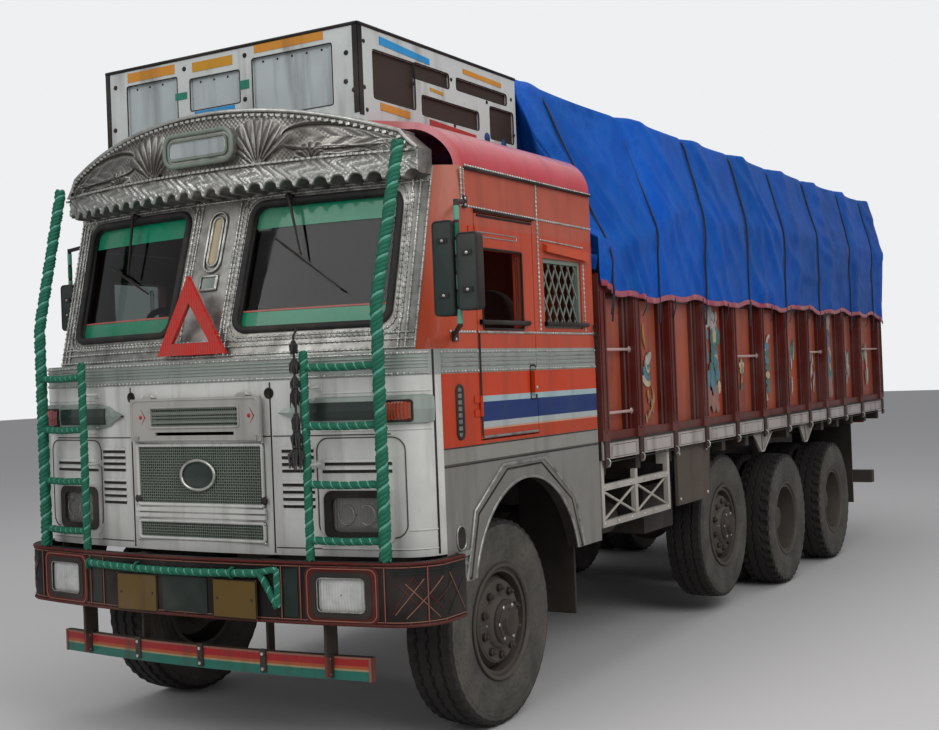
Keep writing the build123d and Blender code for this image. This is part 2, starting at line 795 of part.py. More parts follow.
def cab_floor():
    """Floor with the raised engine cowl and the pads that stand on the chassis."""
    wall = 20
    plate = plan_prism(
        lower_plan, cab_half_width, cab_wall + gap, cab_rear + 5,
        cab_floor_z, cab_floor_z + cab_floor_thickness)
    cowl_x = (station(engine_x[0] + 10), station(engine_x[1] + 60))
    half = engine_half_width + 50
    cowl_top = engine_z[1] + 60
    x_in = (cowl_x[0] + wall, cowl_x[1] - wall)
    cowl = block(cowl_x, (-half, half), (cab_floor_z, cowl_top))
    inside = block((x_in[0] - 60, x_in[1]), (wall - half, half - wall), (cab_floor_z - 1, cowl_top - wall))
    pads = []
    for distance in (cab_rear + 60, 600):
        x = station(distance)
        pads += across(
            (x - 60, x + 60), (rail_outer_y - rail_flange, rail_outer_y), (rail_top, cab_floor_z + 5))
    return fuse([plate + cowl - inside] + pads)


def cab_back():
    half = cab_half_width - cab_wall
    x = (station(cab_rear), station(cab_rear) + 30)
    return block(x, (-half, half), (cab_floor_z + cab_floor_thickness, gutter_z))


def arch_solid(half, low, top, x0, x1):
    """A segment with a flat base, its round back on top."""
    outline = Wire([
        Edge.make_three_point_arc((x0, -half, low), (x0, 0, top), (x0, half, low)),
        Edge.make_line((x0, half, low), (x0, -half, low)),
    ])
    return Solid.extrude(Face(outline), Vector(x1 - x0, 0, 0))


def roof_solid(inset, low, x0, x1):
    """The space under the roof moved in by inset: steep round sides and a nearly flat top."""
    half = cab_half_width - inset
    shoulder_y = roof_shoulder_y - inset
    shoulder_z = roof_shoulder_z - inset
    swell_y = (half + shoulder_y) / 2 + 40
    swell_z = (low + shoulder_z) / 2 + 34
    outline = Wire([
        Edge.make_three_point_arc(
            (x0, -half, low), (x0, -swell_y, swell_z), (x0, -shoulder_y, shoulder_z)),
        Edge.make_three_point_arc(
            (x0, -shoulder_y, shoulder_z), (x0, 0, roof_top_z - inset), (x0, shoulder_y, shoulder_z)),
        Edge.make_three_point_arc(
            (x0, shoulder_y, shoulder_z), (x0, swell_y, swell_z), (x0, half, low)),
        Edge.make_line((x0, half, low), (x0, -half, low)),
    ])
    return Solid.extrude(Face(outline), Vector(x1 - x0, 0, 0))


def cab_roof():
    x0 = station(cab_rear)
    x1 = station(gutter_plan["apex"] + 50)
    shell = roof_solid(0, gutter_z, x0, x1)
    shell = shell - roof_solid(roof_wall, gutter_z - 1, x0 - 1, x1 + 1)
    plan = plan_prism(gutter_plan, cab_half_width, 0, cab_rear, gutter_z, roof_top_z + 10)
    return shell & plan


def crown():
    """Embossed board over the windscreens with a scalloped lower edge."""
    rear = crown_plan["side_x"] - 60
    outer = plan_prism(crown_plan, crown_plan_half, 0, rear, crown_bottom - 40, crown_top + 10)
    depth = (station(100), station(1100))
    half = crown_half_width
    corner = 70
    front_view = front_plate(
        [(-half, crown_bottom), (half, crown_bottom), (half, crown_end_top),
         (half - corner, crown_end_top + corner), (half - corner, crown_top + 10),
         (corner - half, crown_top + 10), (corner - half, crown_end_top + corner),
         (-half, crown_end_top)], *depth)
    lower = block(depth, (-crown_plan_half, crown_plan_half), (crown_bottom, crown_end_top))
    hump = arch_solid(crown_plan_half, crown_end_top - 1, crown_top, *depth)
    board = outer & (lower + hump) & front_view
    board = board - plan_prism(gutter_plan, cab_half_width, -gap, -500, crown_bottom - 60, crown_top + 20)
    board = board - plan_loft(
        sill_plan, gutter_plan, cab_half_width, -gap, -500, band_top, gutter_z)
    board = board - block(
        (station(box_rear), station(box_front) + gap), (-box_half_width - gap, box_half_width + gap),
        (box_bottom - 160, box_top))
    count = int(2 * crown_half_width / scallop_pitch)
    for number in range(count + 1):
        y = (number - count / 2) * scallop_pitch
        board = board - rod((station(300), y, crown_bottom), (station(1100), y, crown_bottom), scallop_radius)
    return board


sign_half_width = 222
sign_z = (2818, 2985)


def roof_sign():
    """Rounded sign box on the middle of the crown."""
    x0 = station(crown_plan["apex"] - 12)
    shape = block((x0, x0 + 50), (-sign_half_width, sign_half_width), sign_z)
    shape = fillet(shape.edges().filter_by(Axis.X), 55)
    return shape - plan_prism(crown_plan, crown_plan_half, -gap, 0, sign_z[0] - 10, sign_z[1] + 10)


# Recesses of the roof box: in its sides from the box front, in its front from the left end
side_bays = (
    dict(reach=(120, 490), low=3085, high=3320),
    dict(reach=(480, 820), low=3245, high=3325),
    dict(reach=(545, 1120), low=3070, high=3172),
    dict(reach=(890, 1440), low=3255, high=3320),
    dict(reach=(1240, 1510), low=3045, high=3225),
)
front_bays = (
    dict(reach=(150, 640), low=3055, high=3350),
    dict(reach=(720, 1050), low=3145, high=3310),
    dict(reach=(1135, 1490), low=3055, high=3335),
)


def roof_box():
    """Open box with recessed panels between its painted bars."""
    x0, x1 = station(box_rear), station(box_front)
    half = box_half_width
    outer = block((x0, x1), (-half, half), (box_bottom - 150, box_top))
    inner = block(
        (x0 + box_wall, x1 - box_wall), (box_wall - half, half - box_wall), (box_bottom - 160, box_top + 1))
    shell = outer - inner
    shell = shell - block((x0 - 1, x1 + 1), (200 - half, half - 200), (box_bottom - 160, box_bottom))
    for bay in side_bays:
        start, end = bay["reach"]
        for side in across((x1 - end, x1 - start), (half - box_pocket, half + 5), (bay["low"], bay["high"])):
            shell = shell - side
    for bay in front_bays:
        start, end = bay["reach"]
        shell = shell - block(
            (x1 - box_pocket, x1 + 5), (half - end, half - start), (bay["low"], bay["high"]))
    shell = shell - roof_solid(-gap, gutter_z, x0 - 10, x1 + 10)
    floor = block((x0 + 10, x1 - 10), (10 - half, half - 10), (box_bottom + 2, box_bottom + 22))
    return shell + floor


# Front fittings

def bumper_ring(inset, z0, z1):
    rear = bumper_end_x
    return plan_prism(bumper_plan, bumper_half_width, inset, rear, z0, z1)


def front_bumper():
    shell = bumper_ring(0, bumper_bottom, bumper_top)
    shell = shell - plan_prism(
        bumper_plan, bumper_half_width, bumper_wall, bumper_end_x - 50, bumper_bottom - 1, bumper_top + 1)
    shell = shell - block(
        (station(bumper_end_x - 60), station(bumper_end_x)), (-2000, 2000),
        (bumper_bottom - 1, bumper_top + 1))
    for sign in (1, -1):
        y = sorted((sign * lamp_inner_y, sign * lamp_outer_y))
        shell = shell - window_cut(
            y[0], y[1], bumper_bottom + 30, bumper_top - 30, lamp_corner, 850, 1150)
    return shell


def lower_plank():
    """Painted board below the bumper on three hangers."""
    plan = dict(bumper_plan)
    plan["apex"] = plank_front
    plan["corner_x"] = 935
    plan["corner_y"] = plank_half_width
    ring = plan_prism(plan, bumper_half_width, 0, 700, plank_bottom, plank_top)
    ring = ring - plan_prism(plan, bumper_half_width, plank_thickness, 600, plank_bottom - 1, plank_top + 1)
    ring = ring & block(
        (station(700), station(1100)), (-plank_half_width, plank_half_width), (plank_bottom, plank_top))
    hangers = []
    for y, front, top in ((-760, 1000, bumper_bottom), (-395, 960, horn_bottom), (395, 960, horn_bottom),
                          (760, 1000, bumper_bottom)):
        hangers.append(block((station(915), station(front)), (y - 7, y + 7), (plank_bottom + 15, top)))
    carrier = block((station(905), station(943)), (-800, 800), (plank_top - 60, plank_top - 20))
    return fuse([ring, carrier] + hangers)


def lamp_block(y0, y1, z0, z1, plan, front_inset, depth):
    cut = window_cut(y0 + gap, y1 - gap, z0 + gap, z1 - gap, lamp_corner, 500, 1200)
    half_width = bumper_half_width if plan is bumper_plan else cab_half_width
    outer = plan_prism(plan, half_width, front_inset, 500, z0, z1)
    inner = plan_prism(plan, half_width, front_inset + depth, 500, z0 - 1, z1 + 1)
    return (outer - inner) & cut


def head_lamps():
    made = []
    for sign in (1, -1):
        y = sorted((sign * lamp_inner_y, sign * lamp_outer_y))
        made.append(lamp_block(y[0], y[1], bumper_bottom + 30, bumper_top - 30, bumper_plan, 8, 60))
        y = sorted((sign * panel_lamp[0], sign * panel_lamp[1]))
        made.append(lamp_block(y[0], y[1], panel_lamp[2], panel_lamp[3], lower_plan, 6, 50))
    return made


guard_inner_y = 705
guard_outer_y = 1070
guard_radius = 17
guard_bottom = bumper_top
guard_inner_top = 1880
rung_heights = (1060, 1310, 1560, 1810)


def guards():
    """Climbing guards beside the grille; the outer posts run up to the crown."""
    inner_x = station(1012)
    outer_x = station(950)
    left = [
        rod((inner_x, guard_inner_y, guard_bottom), (inner_x, guard_inner_y, guard_inner_top), guard_radius),
        rod((outer_x, guard_outer_y, guard_bottom), (outer_x, guard_outer_y, 2080), guard_radius),
        Pos(outer_x, guard_outer_y, 2080) * Sphere(guard_radius),
        rod(
            (outer_x, guard_outer_y, 2080), (station(755), guard_outer_y + 20, crown_end_top + 20),
            guard_radius),
    ]
    for z in rung_heights:
        left.append(rod((inner_x, guard_inner_y, z), (outer_x, guard_outer_y, z), guard_radius - 3))
    for z in (1370, 1720):
        left.append(rod((inner_x, guard_inner_y, z), (station(880), guard_inner_y, z), 9))
    whole = fuse(left)
    return both(whole - plan_prism(lower_plan, cab_half_width, -gap, 0, panel_bottom, band_top))


def mirror_arm(pole_x, pole_y, pole_z, heads):
    """Looped pole on the left side of the cab with its mirror heads."""
    foot, top = pole_z
    pieces = [
        rod((station(pole_x), pole_y, foot), (station(pole_x), pole_y, top), 11),
        rod((station(pole_x), pole_y, top - 10), (station(435), cab_half_width - 10, 2560), 11),
        rod((station(pole_x), pole_y, foot + 10), (station(560), cab_half_width - 10, 1930), 11),
        block((station(425), station(460)), (cab_half_width, cab_half_width + 10), (2530, 2585)),
        block((station(548), station(592)), (cab_half_width, cab_half_width + 10), (1905, 1955)),
    ]
    for y0, y1, z0, z1 in heads:
        head = block((station(pole_x) - 25, station(pole_x) + 25), (y0, y1), (z0, z1))
        pieces.append(fillet(head.edges().filter_by(Axis.X), 22))
        middle = (y0 + y1) / 2
        for z in (z0 + 90, z1 - 90):
            pieces.append(rod((station(pole_x), pole_y, z), (station(pole_x), middle, z), 9))
    outside = block((station(0), station(1100)), (cab_half_width, cab_half_width + 600), (1500, 3000))
    return fuse(pieces) & outside


def mirrors():
    """Two heads on the left pole and one close to the cab on the right."""
    left = mirror_arm(787, 1400, (1960, 2520), ((1285, 1392, 2010, 2430), (1408, 1515, 2030, 2370)))
    right = mirror_arm(373, 1460, (1991, 2562), ((1410, 1515, 2090, 2355),))
    return [left, right.mirror(Plane.XZ)]


def warning_triangle():
    """Folded triangle standing on the sill between the windscreens."""
    base_z = 1895
    top_z = 2275
    half = 215
    front, back = station(980), station(957)
    outer = front_plate([(-half, base_z), (half, base_z), (0, top_z)], back, front)
    inner = front_plate(
        [(-half + 95, base_z + 58), (half - 95, base_z + 58), (0, top_z - 130)], back - 1, front + 1)
    foot = block((station(900), back + 2), (-60, 60), (base_z + 4, base_z + 40))
    foot = foot - plan_loft(sill_plan, gutter_plan, cab_half_width, -gap, 0, band_top, gutter_z)
    return outer - inner + foot


# Cab interior

def seats():
    base_z = cab_floor_z + cab_floor_thickness
    made = []
    for y0, y1 in ((-1050, -500), (500, 1050)):
        cushion = block((station(-330), station(180)), (y0, y1), (base_z + 240, base_z + 380))
        back = block((station(-430), station(-290)), (y0, y1), (base_z + 240, base_z + 930))
        pedestal = block((station(-260), station(110)), (y0 + 90, y1 - 90), (base_z, base_z + 245))
        made.append(cushion + back + pedestal)
    berth = block(
        (station(cab_rear) + 30, station(-450)), (-1150, 1150), (engine_z[1] + 70, engine_z[1] + 190))
    legs = [block((station(cab_rear) + 40, station(-480)), y, (base_z, engine_z[1] + 80))
            for y in ((-1140, -1100), (1100, 1140))]
    made.append(fuse([berth] + legs))
    return made


def dashboard():
    base_z = cab_floor_z + cab_floor_thickness
    shelf = plan_prism(lower_plan, cab_half_width, cab_wall + 2, 560, 1620, band_top - 14)
    column = rod((station(620), -640, 1629), (station(300), -640, 2010), 28)
    wheel = Plane(origin=(station(300), -640, 2010), z_dir=(-260, 0, 310)) * Torus(230, 17)
    hub = Plane(origin=(station(300), -640, 2010), z_dir=(-260, 0, 310)) * Cylinder(52, 30)
    spoke_plane = Plane(origin=(station(300), -640, 2010), x_dir=(0, 1, 0), z_dir=(-260, 0, 310))
    spokes = spoke_plane * Box(456, 24, 14) + spoke_plane * Box(24, 456, 14)
    legs = [block((station(600), station(660)), (y - 30, y + 30), (base_z, 1625)) for y in (-1000, 1000)]
    return fuse([shelf, column, wheel, hub, spokes] + legs)


# Cargo body

def load_floor():
    x0, x1 = station(body_rear), station(body_front)
    plank = block((x0, x1), (-body_skin_y, body_skin_y), (body_floor_bottom + 40, wall_foot_z))
    deck_half = body_skin_y - body_skin - gap
    deck = block(
        (x0, x1 - headboard_thickness - gap), (-deck_half, deck_half),
        (body_floor_bottom + 40, body_floor_top))
    raves = across((x0, x1), (body_skin_y, body_half_width - 8), (body_floor_bottom, wall_foot_z))
    pieces = [plank, deck] + raves
    span = body_front - body_rear - 160
    for number in range(bearer_count):
        x = station(body_rear + 80 + span * number / (bearer_count - 1))
        pieces.append(block(
            (x - bearer_width / 2, x + bearer_width / 2), (-body_skin_y - 5, body_skin_y + 5),
            (bearer_bottom, body_floor_bottom + 45)))
    runner_x = (station(body_rear + rail_rear_margin), station(body_front - 40))
    pieces += across(runner_x, (rail_outer_y - rail_flange, rail_outer_y), (rail_top, bearer_bottom + 5))
    hinge_x = station(gate_hinge_x)
    for y in gate_hinge_places:
        for sign in (1, -1):
            near = y + sign * (gate_lug_half + 2)
            far = near + sign * 14
            ear = block((hinge_x, x0 + 5), (near, far), (gate_hinge_z - 16, gate_hinge_z + 16))
            pieces.append(ear + cross_rod(hinge_x, near, far, gate_hinge_z, 16))
        pin_reach = gate_lug_half + 10
        pieces.append(cross_rod(hinge_x, y - pin_reach, y + pin_reach, gate_hinge_z, gate_pin_radius))
    return fuse(pieces)


def body_side():
    """One pressed side with its posts, rails and inner skin."""
    x0, x1 = station(body_rear), station(body_front)
    pieces = [block((x0, x1), (body_skin_y - body_skin, body_skin_y), (wall_foot_z, body_side_top))]
    outer = body_half_width
    pieces.append(block((x0, x1), (body_skin_y - 5, outer - 12), (body_side_top - 70, body_side_top)))
    pieces.append(block((x0, x1), (body_skin_y - 5, outer - 20), (wall_foot_z, wall_foot_z + 50)))
    for distance in (0,) + post_stations + (body_front - body_rear - post_width,):
        right = x1 - distance
        left = right - post_width
        if distance:
            right, left = right + post_width * 0.5, left + post_width * 0.5
        left = max(left, x0)
        right = min(right, x1)
        pieces.append(block((left, right), (body_skin_y - 5, outer), (wall_foot_z, body_side_top)))
    return fuse(pieces)


def body_sides():
    return both(body_side())


def headboard():
    half = body_skin_y - body_skin
    x = (station(body_front) - headboard_thickness, station(body_front))
    z = (wall_foot_z, body_side_top)
    board = block(x, (-half, half), z)
    ribs = [block((x[1] - 2, x[1] + 22), (y - 40, y + 40), z) for y in (-900, 0, 900)]
    return fuse([board] + ribs)


gate_hinge_z = body_floor_top - 36
gate_hinge_x = body_rear - running_gap - gate_thickness / 2
gate_half_width = body_half_width - 8
gate_hinge_places = (-1000, -350, 350, 1000)
gate_lug_half = 35
gate_pin_radius = 9
gate_lug_radius = gate_thickness / 2


def tailgate():
    """Drop gate with its frame, hinged along its lower edge."""
    x = (station(body_rear) - running_gap - gate_thickness, station(body_rear) - running_gap)
    z0 = body_floor_top + 4
    z1 = body_side_top - 6
    board = block(x, (-gate_half_width, gate_half_width), (z0, z1))
    for row in range(3):
        for column in range(4):
            wide = 2 * gate_half_width / 4
            high = (z1 - z0) / 3
            y = -gate_half_width + wide * column
            z = z0 + high * row
            pocket = block((x[0] - 1, x[0] + 16), (y + 45, y + wide - 45), (z + 40, z + high - 40))
            board = board - pocket
    for y in gate_hinge_places:
        lug = block(x, (y - gate_lug_half, y + gate_lug_half), (gate_hinge_z, z0 + 1))
        ring = cross_rod(
            station(gate_hinge_x), y - gate_lug_half, y + gate_lug_half, gate_hinge_z, gate_lug_radius)
        hole = cross_rod(station(gate_hinge_x), y - 80, y + 80, gate_hinge_z, gate_pin_radius + gap)
        board = board + (lug + ring - hole)
    return board


# Tarpaulin and hoops

def cover_outline(section, offset):
    """Outline of the cover across the body at one place, moved in by offset."""
    x = station(section["place"])
    half = tarp_half_width - offset
    knee = (section["knee"][0] - offset, section["knee"][1] - offset * 0.15)
    shoulder = (section["shoulder"][0] - offset * 0.78, section["shoulder"][1] - offset * 0.82)
    crest = section["crest"] - offset
    points = [(x, y, z) for y, z in ((half, tarp_hem_z), knee, shoulder)]
    mirrored = [(x, -y, z) for x, y, z in points]
    return Wire([
        Edge.make_line(mirrored[0], mirrored[1]),
        Edge.make_line(mirrored[1], mirrored[2]),
        Edge.make_three_point_arc(mirrored[2], (x, 0, crest), points[2]),
        Edge.make_line(points[2], points[1]),
        Edge.make_line(points[1], points[0]),
        Edge.make_line(points[0], mirrored[0]),
    ])


def cover_solid(offset, x0, x1):
    """The space under the cover, moved in by offset, from one place along the body to another."""
    whole = Solid.make_loft([cover_outline(section, offset) for section in tarp_sections], ruled=True)
    return whole & block((x0, x1), (-2000, 2000), (tarp_hem_z - 10, 4000))


def tarp():
    x0 = station(tarp_rear)
    x1 = station(tarp_front)
    outer = cover_solid(0, x0, x1)
    inner = cover_solid(tarp_skin, x0 + tarp_skin, x1 - tarp_skin)
    inside = tarp_half_width - tarp_skin
    cut_low = block((x0 - 5, x1 + 5), (-inside, inside), (2000, body_side_top + 12))
    shell = outer - inner - cut_low
    cab_clear = block((station(body_front) - 2, x1 + 5), (-2000, 2000), (2000, roof_top_z + 8))
    return shell - cab_clear


def tarp_hoops():
    """Hoops that stand on the side walls and hold the cover up, with three long rails."""
    x0 = station(tarp_rear)
    x1 = station(tarp_front)
    seat = tarp_skin + hoop_clearance
    band = cover_solid(seat, x0, x1) - cover_solid(seat + hoop_bar, x0 - 1, x1 + 1)
    made = []
    first = x0 + 90
    last = station(body_front) - headboard_thickness - hoop_bar - hoop_clearance
    for number in range(hoop_count):
        x = first + (last - first) * number / (hoop_count - 1)
        made.append(band & block((x, x + hoop_bar), (-2000, 2000), (body_side_top, 4000)))
    for y in (-hoop_rail_y, 0, hoop_rail_y):
        rail = block(
            (first, last + hoop_bar), (y - hoop_bar / 2, y + hoop_bar / 2), (body_side_top + 300, 4000))
        made.append(band & rail)
    return fuse(made)


# Guards below the body, mudguards and lamps

def side_guards():
    made = []
    front, rear = station(-975), station(-1985)
    y = (1195, 1225)
    for z0, z1 in ((860, 895), (1065, 1100)):
        made.append(block((rear, front), y, (z0, z1)))
    for x in (front - 35, (front + rear) / 2, rear):
        made.append(block((x, x + 35), y, (860, bearer_bottom + 5)))
    hangers = []
    for x in (front - 35, rear):
        hangers.append(block((x, x + 35), (1150, 1225), (bearer_bottom - 5, body_floor_bottom)))
    return both(fuse(made + hangers))


def under_run_bar():
    x = station(body_rear + 160)
    bar = block((x - 50, x + 50), (-1150, 1150), (520, 640))
    arms = across((x - 40, x + 40), (rail_outer_y - rail_flange, rail_outer_y), (600, rail_bottom))
    return fuse([bar] + arms)


def mud_guards():
    """Upright plates before and behind the wheels and the braces between them."""
    made = []
    plate = block((station(-2715), station(-2118)), (1205, 1222), (862, body_floor_bottom))
    made += both(plate)
    for front, tip, back in ((-3659, -3852, -4087), (-4833, -4985, -5212)):
        brace = side_plate([
            (station(back), body_floor_bottom), (station(front), body_floor_bottom),
            (station(tip) + 30, 1085), (station(tip) - 30, 1085)], 1205, 1222)
        made += both(brace)
    flap = block((station(-6560), station(-6540)), (640, 1195), (420, bearer_bottom))
    made += both(flap)
    flap = block((station(-760), station(-740)), (820, 1150), (420, cab_floor_z))
    made += both(flap)
    return made


def tail_lamps():
    """Lamp boards on the last bearer."""
    made = []
    x = station(body_rear + 80) - bearer_width / 2
    z = body_floor_bottom
    for sign in (1, -1):
        y = sorted((sign * 700, sign * 1050))
        board = block((x - 15, x), y, (z - 130, z))
        lenses = [block((x - 32, x - 14), (y[0] + 20 + 110 * n, y[0] + 100 + 110 * n), (z - 110, z - 20))
                  for n in range(3)]
        made.append(fuse([board] + lenses))
    return made


def main():
    os.makedirs("parts", exist_ok=True)
    save_wheels()
    left_knuckle = knuckle()
    save("knuckle_left", left_knuckle)
    save("knuckle_right", left_knuckle.mirror(Plane.XZ))
    save("front_axle", front_axle())
    save("rear_axles", rear_axles())
    save("chassis_frame", chassis_frame())
    save("engine", engine())
    save("driveline", driveline())
    save("tanks", tanks())
    save("front_panel", front_panel())
    save("grilles", grilles())
    save("front_lid", front_lid())
    save("cab_sides", cab_sides())
    save("sleeper_grilles", sleeper_grilles())
    left_door = door()
    save("door_left", left_door)
    save("door_right", left_door.mirror(Plane.XZ))
    save("cab_front", cab_front())
    save("windscreens", windscreens())
    save("cab_floor", cab_floor())
    save("cab_back", cab_back())
    save("cab_roof", cab_roof())
    save("crown", crown())
    save("roof_sign", roof_sign())
    save("roof_box", roof_box())
    save("front_bumper", front_bumper())
    save("lower_plank", lower_plank())
    save("head_lamps", head_lamps())
    save("guards", guards())
    save("mirrors", mirrors())
    save("warning_triangle", warning_triangle())
    save("seats", seats())
    save("dashboard", dashboard())
    save("load_floor", load_floor())
    save("body_sides", body_sides())
    save("headboard", headboard())
    save("tailgate", tailgate())
    save("tarp", tarp())
    save("tarp_hoops", tarp_hoops())
    save("side_guards", side_guards())
    save("under_run_bar", under_run_bar())
    save("mud_guards", mud_guards())
    save("tail_lamps", tail_lamps())


if __name__ == "__main__":
    main()
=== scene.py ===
import json
import math
import random

import bpy
import numpy as np
from mathutils import Matrix, Vector

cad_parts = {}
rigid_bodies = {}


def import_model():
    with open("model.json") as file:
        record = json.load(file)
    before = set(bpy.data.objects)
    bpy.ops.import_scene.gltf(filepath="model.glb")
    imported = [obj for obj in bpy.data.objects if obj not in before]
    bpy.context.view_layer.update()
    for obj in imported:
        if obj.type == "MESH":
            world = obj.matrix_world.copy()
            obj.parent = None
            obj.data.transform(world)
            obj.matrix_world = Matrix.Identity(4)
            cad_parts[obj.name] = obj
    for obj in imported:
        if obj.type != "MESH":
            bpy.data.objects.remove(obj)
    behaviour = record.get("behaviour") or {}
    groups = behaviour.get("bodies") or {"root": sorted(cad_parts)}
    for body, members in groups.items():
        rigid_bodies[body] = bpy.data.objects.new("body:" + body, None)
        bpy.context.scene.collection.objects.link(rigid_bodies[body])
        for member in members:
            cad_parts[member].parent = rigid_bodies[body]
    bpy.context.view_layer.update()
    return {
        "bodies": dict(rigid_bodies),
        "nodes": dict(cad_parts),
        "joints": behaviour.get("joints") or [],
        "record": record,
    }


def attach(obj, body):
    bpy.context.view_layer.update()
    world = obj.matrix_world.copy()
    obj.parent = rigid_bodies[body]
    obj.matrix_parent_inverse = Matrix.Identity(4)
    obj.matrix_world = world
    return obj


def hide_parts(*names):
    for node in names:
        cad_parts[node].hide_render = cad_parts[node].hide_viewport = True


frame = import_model()
nodes = frame["nodes"]
front_axle = 3.3205
x_axis, y_axis, z_axis = (1, 0, 0), (0, 1, 0), (0, 0, 1)
sill_z = 1.871
gutter_z = 2.730


def at(distance):
    """X of a place given by its distance ahead of the front axle."""
    return front_axle + distance


# Camera

def add_camera():
    """The camera that was worked out from the photo."""
    yaw, pitch, roll = 3.6763, 0.0065, 0.0385
    look = Vector((math.cos(pitch) * math.cos(yaw), math.cos(pitch) * math.sin(yaw), math.sin(pitch)))
    right = look.cross(Vector(z_axis)).normalized()
    down = look.cross(right)
    across = right * math.cos(roll) + down * math.sin(roll)
    drop = -right * math.sin(roll) + down * math.cos(roll)
    camera = bpy.data.objects.new("camera", bpy.data.cameras.new("camera"))
    camera.data.sensor_width = 36
    camera.data.lens = 49.58
    camera.data.clip_end = 200
    turn = Matrix((across, -drop, -look)).transposed().to_4x4()
    stand = (8.9495, 4.306, 1.756)
    camera.matrix_world = Matrix.Translation(stand) @ turn
    bpy.context.scene.collection.objects.link(camera)
    bpy.context.scene.camera = camera


# Materials

def srgb(code):
    """Linear colour of a hex code."""
    parts = [int(code[k:k + 2], 16) / 255 for k in (0, 2, 4)]
    linear = [c / 12.92 if c <= 0.04045 else ((c + 0.055) / 1.055) ** 2.4 for c in parts]
    return (*linear, 1.0)


class Finish:
    """Builds one procedural material on the object's own coordinates."""

    def __init__(self, name, rough=0.5, metal=0.0, **sockets):
        self.material = bpy.data.materials.new(name)
        self.material.use_nodes = True
        self.tree = self.material.node_tree
        self.shader = self.tree.nodes["Principled BSDF"]
        self.shader.inputs["Roughness"].default_value = rough
        self.shader.inputs["Metallic"].default_value = metal
        for key, value in sockets.items():
            self.shader.inputs[key.replace("_", " ")].default_value = value
        self.place = self.add("ShaderNodeTexCoord").outputs["Object"]
        split = self.add("ShaderNodeSeparateXYZ", Vector=self.place)
        self.x = split.outputs["X"]
        self.y = split.outputs["Y"]
        self.z = split.outputs["Z"]

    def add(self, kind, inputs=None, **named):
        """A node with its inputs linked or set, given by number or by name."""
        node = self.tree.nodes.new(kind)
        values = dict(inputs or {})
        values.update(named)
        for key, value in values.items():
            socket = node.inputs[key]
            if isinstance(value, bpy.types.NodeSocket):
                self.tree.links.new(value, socket)
            else:
                socket.default_value = value
        return node

    def math(self, operation, a, b=0.0):
        """One sum, product or comparison of values."""
        node = self.add("ShaderNodeMath", {0: a, 1: b})
        node.operation = operation
        return node.outputs[0]

    def times(self, a, b):
        return self.math("MULTIPLY", a, b)

    def above(self, value, limit):
        return self.math("GREATER_THAN", value, limit)

    def below(self, value, limit):
        return self.math("LESS_THAN", value, limit)

    def size(self, value):
        return self.math("ABSOLUTE", value)

    def noise(self, scale, stretch=(1, 1, 1), detail=4.0, rough=0.55):
        """A cloudy pattern; stretch draws it out along an axis."""
        place = self.add("ShaderNodeMapping", Vector=self.place, Scale=stretch).outputs[0]
        node = self.add("ShaderNodeTexNoise", Vector=place, Scale=scale, Detail=detail, Roughness=rough)
        return node.outputs["Fac"]

    def remap(self, value, low, high, out_low=0.0, out_high=1.0):
        """The value stretched from one span to another and held inside it."""
        node = self.add("ShaderNodeMapRange", {
            "Value": value, "From Min": low, "From Max": high, "To Min": out_low, "To Max": out_high})
        return node.outputs[0]

    def mix(self, a, b, share):
        """Colour a turning into colour b by a share."""
        node = self.tree.nodes.new("ShaderNodeMix")
        node.data_type = "RGBA"
        for index, value in ((0, share), (6, a), (7, b)):
            if isinstance(value, bpy.types.NodeSocket):
                self.tree.links.new(value, node.inputs[index])
            else:
                node.inputs[index].default_value = value
        return node.outputs[2]

    def bands(self, value, low, high, stops):
        """Colours that change at set values, each from its stop upward."""
        node = self.add("ShaderNodeValToRGB", Fac=self.remap(value, low, high))
        ramp = node.color_ramp
        ramp.interpolation = "CONSTANT"
        while len(ramp.elements) < len(stops):
            ramp.elements.new(0.5)
        for element, (start, code) in zip(ramp.elements, stops):
            element.position = max(0.0, (start - low) / (high - low))
            element.color = srgb(code)
        return node.outputs["Color"]

    def bump(self, height, depth, strength):
        node = self.add("ShaderNodeBump", Height=height, Distance=depth, Strength=strength)
        self.tree.links.new(node.outputs[0], self.shader.inputs["Normal"])

    def done(self, colour, rough=None):
        """Sets the colour, and the roughness where it varies, and gives the material."""
        if isinstance(colour, bpy.types.NodeSocket):
            self.tree.links.new(colour, self.shader.inputs["Base Color"])
        else:
            self.shader.inputs["Base Color"].default_value = colour
        if rough is not None:
            self.tree.links.new(rough, self.shader.inputs["Roughness"])
        return self.material


def worn(finish, colour, rough, fade=0.25, streaks=0.3, dust=0.5, dust_top=1.3, chips=0.1):
    """Fading, rain streaks, road dust and chips on a paint colour."""
    finish.shader.inputs["Specular IOR Level"].default_value = 0.22
    faded = finish.mix(colour, srgb("A09088"), finish.remap(finish.noise(2.2), 0.45, 0.8, 0.0, fade * 0.7))
    grime = finish.noise(9, stretch=(1, 1, 0.12), detail=5)
    run = finish.mix(faded, srgb("3A322C"), finish.remap(grime, 0.5, 0.75, 0.0, streaks))
    blotch = finish.noise(5, detail=6)
    low = finish.remap(finish.z, 0.3, dust_top, 1.0, 0.0)
    share = finish.times(finish.math("ADD", low, finish.remap(blotch, 0.35, 0.8, -0.1, 0.35)), dust)
    share.node.use_clamp = True
    dusty = finish.mix(run, srgb("554C44"), share)
    chip = finish.remap(finish.noise(34, detail=5, rough=0.7), 0.66, 0.68, 0.0, chips)
    whole = finish.mix(dusty, srgb("2A2320"), chip)
    finish.bump(finish.noise(3.5, detail=2), 0.006, 0.5)
    return finish.done(whole, finish.remap(blotch, 0.3, 0.8, rough - 0.08, rough + 0.25))


